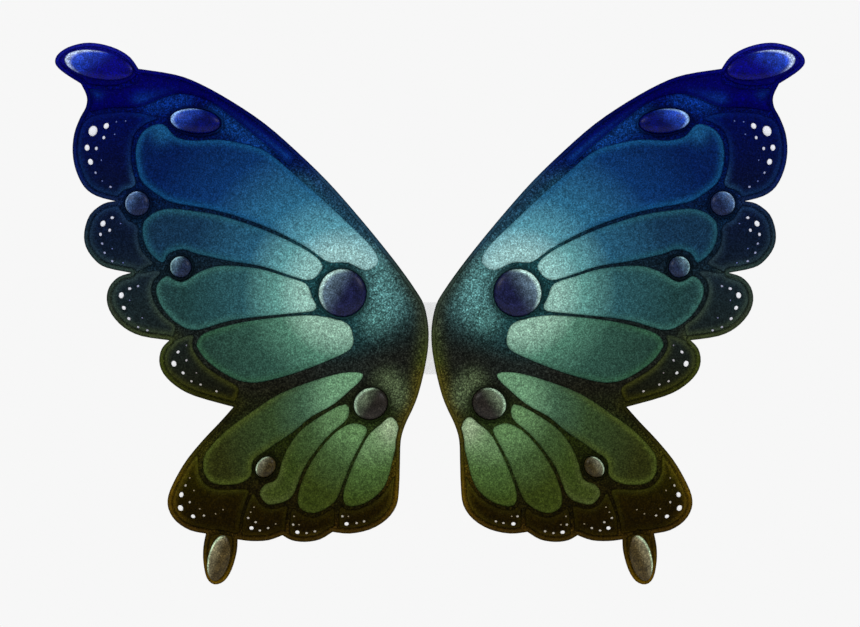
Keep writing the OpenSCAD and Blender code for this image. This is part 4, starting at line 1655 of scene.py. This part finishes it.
@dataclass
class BackPad:
    """One foam pad in air mesh, its skin blown up by a cloth simulation, with piping round its seam.

    Args:
        seam: height of the seam above the plate in millimetres.
        shoulder: width of the rounded shoulder in millimetres.
        voxel: size of the simulated skin's cells in millimetres.
        swell: the furthest that the simulation may move a point, in millimetres.
        cord: radius of the piping in millimetres.
    """

    seam: float = 4.5
    shoulder: float = 6.5
    voxel: float = 3.0
    swell: float = 1.6
    cord: float = 1.1

    def block(self, side: Side) -> tuple[bpy.types.Object, Array]:
        """The foam's shape before it is blown up.

        Args:
            side: the side that it lies on.

        Returns:
            The piece, and its outline's points in order.
        """
        outline = Outline.of_face("back_pads", at_front=False)
        loop = next(p for p in outline.loops() if p[:, 0].mean() * side.value > 0)
        mine = outline.starts[:, 0] * side.value > 0
        low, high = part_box("back_pads")
        relief = Relief(Outline(outline.starts[mine], outline.ends[mine]), 1.6 * MM, low.y)
        share = np.clip(relief.distance / MM / self.shoulder, 0, 1)
        full = (high.y - low.y) / MM - 1.0
        height = (self.seam + (full - self.seam) * np.sqrt(1 - (1 - share) ** 2)) * MM
        mesh = relief.mesh(-height, {})
        mesh.faces = [f[:, ::-1] for f in mesh.faces]
        return mesh.build(f"{side.tag}_back_pad"), loop

    def blow_up(self, piece: bpy.types.Object) -> None:
        """Remeshes the block and lets pressure fill its skin, its face on the plate being held.

        Args:
            piece: the block.
        """
        low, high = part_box("back_pads")
        remesh = piece.modifiers.new("skin", "REMESH")
        remesh.mode = "VOXEL"
        remesh.voxel_size = self.voxel * MM
        graph = bpy.context.evaluated_depsgraph_get()
        piece.data = bpy.data.meshes.new_from_object(piece.evaluated_get(graph))
        piece.modifiers.clear()
        rest = points_of(piece.data)
        held = piece.vertex_groups.new(name="held")
        held.add(np.flatnonzero(rest[:, 1] < low.y + 2.2 * MM).tolist(), 1.0, "REPLACE")
        cloth = piece.modifiers.new("air", "CLOTH")
        cloth.settings.use_pressure = True
        cloth.settings.uniform_pressure_force = 4
        cloth.settings.vertex_group_mass = held.name
        cloth.settings.effector_weights.gravity = 0
        scene = bpy.context.scene
        for moment in range(1, 21):
            scene.frame_set(moment)
        graph = bpy.context.evaluated_depsgraph_get()
        blown = points_of(piece.evaluated_get(graph).to_mesh())
        piece.modifiers.clear()
        scene.frame_set(1)
        move = blown - rest
        length = np.linalg.norm(move, axis=1, keepdims=True)
        move *= np.minimum(1, self.swell * MM / np.maximum(length, 1e-9))
        made = rest + move
        made[:, 1] = np.clip(made[:, 1], low.y, high.y)
        piece.data.vertices.foreach_set("co", made.astype(np.float32).ravel())
        piece.vertex_groups.clear()
        finer = piece.modifiers.new("finer", "SUBSURF")
        finer.levels = finer.render_levels = 1
        piece.data.polygons.foreach_set("use_smooth", np.ones(len(piece.data.polygons), bool))

    def make(self) -> None:
        """Builds both pads and their piping."""
        material = SpacerMesh("air_mesh", 0.9, 0.1, 0.5).material()
        low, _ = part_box("back_pads")
        for side in Side:
            piece, loop = self.block(side)
            self.blow_up(piece)
            dress(piece, material)
            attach(piece, "back")
            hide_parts("back_pads")
            heading = np.roll(loop, -1, axis=0) - np.roll(loop, 1, axis=0)
            heading /= np.hypot(*heading.T)[:, None]
            normals = np.column_stack([-heading[:, 1], heading[:, 0]])
            a = -around(10)
            section = np.column_stack([0.6 + self.cord * np.cos(a), self.seam + self.cord * np.sin(a)]) * MM
            section[:, 1] += low.y
            inward = ((loop.mean(axis=0) - loop) * normals).sum(axis=1).mean() > 0
            if not inward:
                normals, section = -normals, section[::-1]
            points, faces = profile_along(loop, normals, section, True)
            shade = np.tile(linear("1a1a1c"), (len(points), 1))
            cord = Mesh(points, [faces], {"tint": shade}).build(f"{side.tag}_pad_piping")
            dress(cord, Wardrobe.piping)
            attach(cord, "back")
            log.info("%s: %d points", piece.name, len(piece.data.vertices))


def points_of(data: bpy.types.Mesh) -> Array:
    """A mesh's points as rows of x, y, z."""
    co = np.empty(len(data.vertices) * 3)
    data.vertices.foreach_get("co", co)
    return co.reshape(-1, 3)


@dataclass
class ShoulderStrap:
    """The elastic strap: a flat band with rounded selvedges along the node's own line.

    Args:
        pitch: spacing of the band's sections in millimetres.
        sides: points round a section.
    """

    pitch: float = 2.0
    sides: int = 28

    @staticmethod
    def evenly(points: Array, count: int) -> Array:
        """A line of points, set out again at even steps.

        Args:
            points: rows of two.
            count: how many points to give.

        Returns:
            The new rows.
        """
        along = lengths_along(points)
        at = np.linspace(0, along[-1], count)
        return np.column_stack([np.interp(at, along, points[:, k]) for k in (0, 1)])

    def line(self) -> tuple[Array, float]:
        """The strap's middle line.

        The side face's outline is cut at its two short ends, which lie square on the plate, and the
        two long edges between them are averaged step by step.

        Returns:
            The line as rows of depth, up, and the strap's thickness, in metres.
        """
        loop = Outline.of_face("right_shoulder_strap", axis=0).loops()[0]
        way = np.roll(loop, -1, axis=0) - loop
        nearer = np.minimum(loop[:, 0], np.roll(loop[:, 0], -1))
        level, on_plate = np.abs(way[:, 1]) < 1e-5, nearer < loop[:, 0].min() + 1e-5
        ends = np.flatnonzero(level & on_plate)
        first, second = ends[:2]
        one = loop[first + 1:second + 1]
        other = np.concatenate([loop[second + 1:], loop[:first + 1]])[::-1]
        thick = float(np.abs(way[first]).max())
        count = int(lengths_along(one)[-1] / (self.pitch * MM))
        middle = (self.evenly(one, count) + self.evenly(other, count)) / 2
        for _ in range(3):
            middle[1:-1] = (middle[:-2] + 2 * middle[1:-1] + middle[2:]) / 4
        return middle, thick

    def make(self) -> None:
        """Builds both straps.

        A section is a superellipse of power 6 across and 2 through, so the selvedges are rounded.
        """
        middle, thick = self.line()
        low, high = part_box("right_shoulder_strap")
        heading = np.gradient(middle, axis=0)
        heading /= np.hypot(*heading.T)[:, None]
        normal = np.column_stack([-heading[:, 1], heading[:, 0]])
        a = around(self.sides)
        across = np.sign(np.cos(a)) * np.abs(np.cos(a)) ** 0.3 * (high.x - low.x) / 2
        through = np.sin(a) * thick / 2
        through = np.sign(through) * np.minimum(np.abs(through) * 1.35, thick / 2)
        count = len(middle)
        x = np.broadcast_to((low.x + high.x) / 2 + across, (count, self.sides))
        side_to = middle[:, None] + normal[:, None] * through[None, :, None]
        points = np.stack([x, side_to[..., 0], side_to[..., 1]], axis=-1).reshape(-1, 3)
        values = {"across": np.tile(across, count), "along": np.repeat(lengths_along(middle), self.sides)}
        tube = grid_faces(count, self.sides, False, True)
        turn = np.arange(self.sides)
        caps = np.stack([turn, (turn + (count - 1) * self.sides)[::-1]])
        probe = points[tube[0]]
        out = np.cross(probe[1] - probe[0], probe[2] - probe[0])
        if out @ (probe.mean(axis=0) - points[:self.sides].mean(axis=0)) < 0:
            tube = tube[:, ::-1]
        else:
            caps = caps[:, ::-1]
        mesh = Mesh(points, [tube, caps], values)
        for side in Side:
            name = f"{side.tag}_shoulder_strap"
            piece = mesh.on(side).build(f"{name}_webbing")
            dress(piece, Wardrobe.strap)
            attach(piece, "back")
            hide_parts(name)
            log.info("%s: %d points", piece.name, len(points))


class CarriedOver(Enum):
    """The CAD nodes whose shape is final, with the finish each takes."""

    EDGE_WIRE = ("edge_wire", "wire")
    BATTENS = ("battens", "batten")
    HINGE_LEAF = ("hinge_leaf", "leaf")
    LEAF_RIVETS = ("leaf_rivets", "rivet")
    STRAP_SLIDER = ("strap_slider", "slider")
    BACK_PLATE = ("back_plate", "plate")
    HINGE_PINS = ("hinge_pins", "pin")
    STRAP_RIVETS = ("strap_rivets", "rivet")

    def dress(self) -> None:
        """Gives the nodes of this name, on either side or in the middle, their finish."""
        name, finish = self.value
        for node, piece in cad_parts.items():
            if node == name or node.split("_", 1)[1] == name:
                dress(piece, getattr(Wardrobe, finish))


# --------------------------------------------------------------------------- studio


@dataclass
class Studio:
    """A pale floor, an even pale backdrop from the world, soft boxes and the camera.

    Args:
        distance: distance of the camera from the origin in metres.
        height: height of the camera.
        lens: focal length in millimetres.
        floor: height of the floor.
        floor_radius: radius of the floor.
        backdrop: brightness that the camera sees behind the object.
        ambient: brightness of the world's light on the object.
        flagged: brightness that glossy surfaces mirror, held down by black flags.
    """

    distance: float = 2.468
    height: float = 0.0282
    lens: float = 85
    floor: float = -1.0
    floor_radius: float = 4.0
    backdrop: float = 0.93
    ambient: float = 0.39
    flagged: float = 0.06

    def camera(self) -> None:
        """Sets the camera level and square to the wings."""
        data = bpy.data.cameras.new("camera")
        data.lens, data.sensor_width = self.lens, 36
        made = bpy.data.objects.new("camera", data)
        made.location = (0, -self.distance, self.height)
        made.rotation_euler = (math.pi / 2, 0, 0)
        bpy.context.scene.collection.objects.link(made)
        bpy.context.scene.camera = made

    def world(self) -> None:
        """Lights the object from all round, and shows the camera the pale backdrop."""
        world = bpy.data.worlds.new("studio")
        world.use_nodes = True
        graph = Graph(world.node_tree)
        shader = world.node_tree.nodes["Background"]
        shader.inputs["Color"].default_value = (1, 1, 1, 1)
        path = graph.add("ShaderNodeLightPath").outputs
        lit = graph.ramp(path["Is Glossy Ray"], 0, 1, self.ambient, self.flagged)
        seen = graph.ramp(path["Is Camera Ray"], 0, 1, 0, 1)
        behind = graph.math("MULTIPLY", seen, self.backdrop)
        ahead = graph.math("MULTIPLY", graph.math("SUBTRACT", 1.0, seen), lit)
        graph.link(graph.math("ADD", behind, ahead), shader.inputs["Strength"])
        bpy.context.scene.world = world

    def softbox(self, name: str, place: tuple[float, float, float], size: float, watts: float) -> None:
        """Adds a square soft box that faces the middle of the wings.

        Args:
            name: the lamp's name.
            place: where it stands, in metres.
            size: its side.
            watts: its power.
        """
        data = bpy.data.lights.new(name, "AREA")
        data.size, data.energy, data.specular_factor = size, watts, 0.35
        made = bpy.data.objects.new(name, data)
        made.location = place
        away = np.array(place) - (0, 0, 0.03)
        flat = math.hypot(away[0], away[1])
        made.rotation_euler = (math.atan2(flat, away[2]), 0, math.atan2(away[0], -away[1]))
        bpy.context.scene.collection.objects.link(made)

    def make(self) -> None:
        """Builds the floor, the lights and the camera."""
        a = around(64)
        rim = np.column_stack([np.cos(a), np.sin(a), np.zeros(64)]) * self.floor_radius
        disc = Mesh(rim + (0, 0, self.floor), [np.arange(64)[None]], {}).build("floor")
        dress(disc, Moulded("floor_paint", 0.9, 0.1, 0.2, "f4f4f4", "f0f0f0").material())
        self.camera()
        self.world()
        for sign in (-1, 1):
            self.softbox(f"front_box_{sign + 1}", (sign * 1.9, -1.9, 1.5), 1.2, 29)
            self.softbox(f"back_box_{sign + 1}", (sign * 1.6, 2.0, 1.6), 1.2, 29)
        bpy.context.scene.view_settings.view_transform = "Standard"


# --------------------------------------------------------------------------- the object


CELL_SLOTS = {
    "costal_panel": "costal_cloth", "fore_panel_a": "panel_a_cloth", "fore_panel_b": "panel_b_cloth",
    "fore_panel_c": "panel_c_cloth", "fore_panel_d": "panel_d_cloth", "hind_panel_e": "panel_e_cloth",
    "hind_panel_f": "panel_f_cloth", "hind_panel_g": "panel_g_cloth", "hind_panel_h": "panel_h_cloth",
    "fore_lobe_panels": "fore_lobe_cloth", "hind_lobe_panels": "hind_lobe_cloth",
}

# Each cabochon's painted lit colour, painted shaded colour and painted highlight colour
GEMS = (
    Cabochons("tip_cabochon", "tip_gem", (GemPaint("2048c8", "000070", "c8dcff"),)),
    Cabochons("costal_cabochon", "costal_gem", (GemPaint("2048b8", "000858", "90b8f0"),)),
    Cabochons("root_cabochon", "root_gem", (GemPaint("607888", "181c40", "c8f0e8"),)),
    Cabochons("hind_cabochon", "hind_gem", (GemPaint("607058", "282420", "b8d8b8"),)),
    Cabochons("tail_cabochon", "tail_gem", (GemPaint("908868", "483c20", "c8e0b8"),)),
    Cabochons("small_cabochons", "small_gem", (
        GemPaint("406090", "182448", "88a8d0"), GemPaint("507080", "202c48", "90b8c0"),
        GemPaint("787860", "383018", "b8d0b0"),
    )),
)


def main() -> None:
    """Builds the object piece by piece, then the studio."""
    logging.basicConfig(level=logging.INFO, format="%(name)s %(message)s")
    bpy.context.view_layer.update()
    for kind in CarriedOver:
        kind.dress()
    tape = FoldedTape().make()
    WingSheet().make(tape)
    made = {node: PuffedCells(node, slot).make() for node, slot in CELL_SLOTS.items()}
    for gems in GEMS:
        gems.make()
    Bezels().make()
    Pearls().make([found for node, found in made.items() if node.endswith("lobe_panels")])
    BackPad().make()
    ShoulderStrap().make()
    Studio().make()


if __name__ == "__main__":
    main()
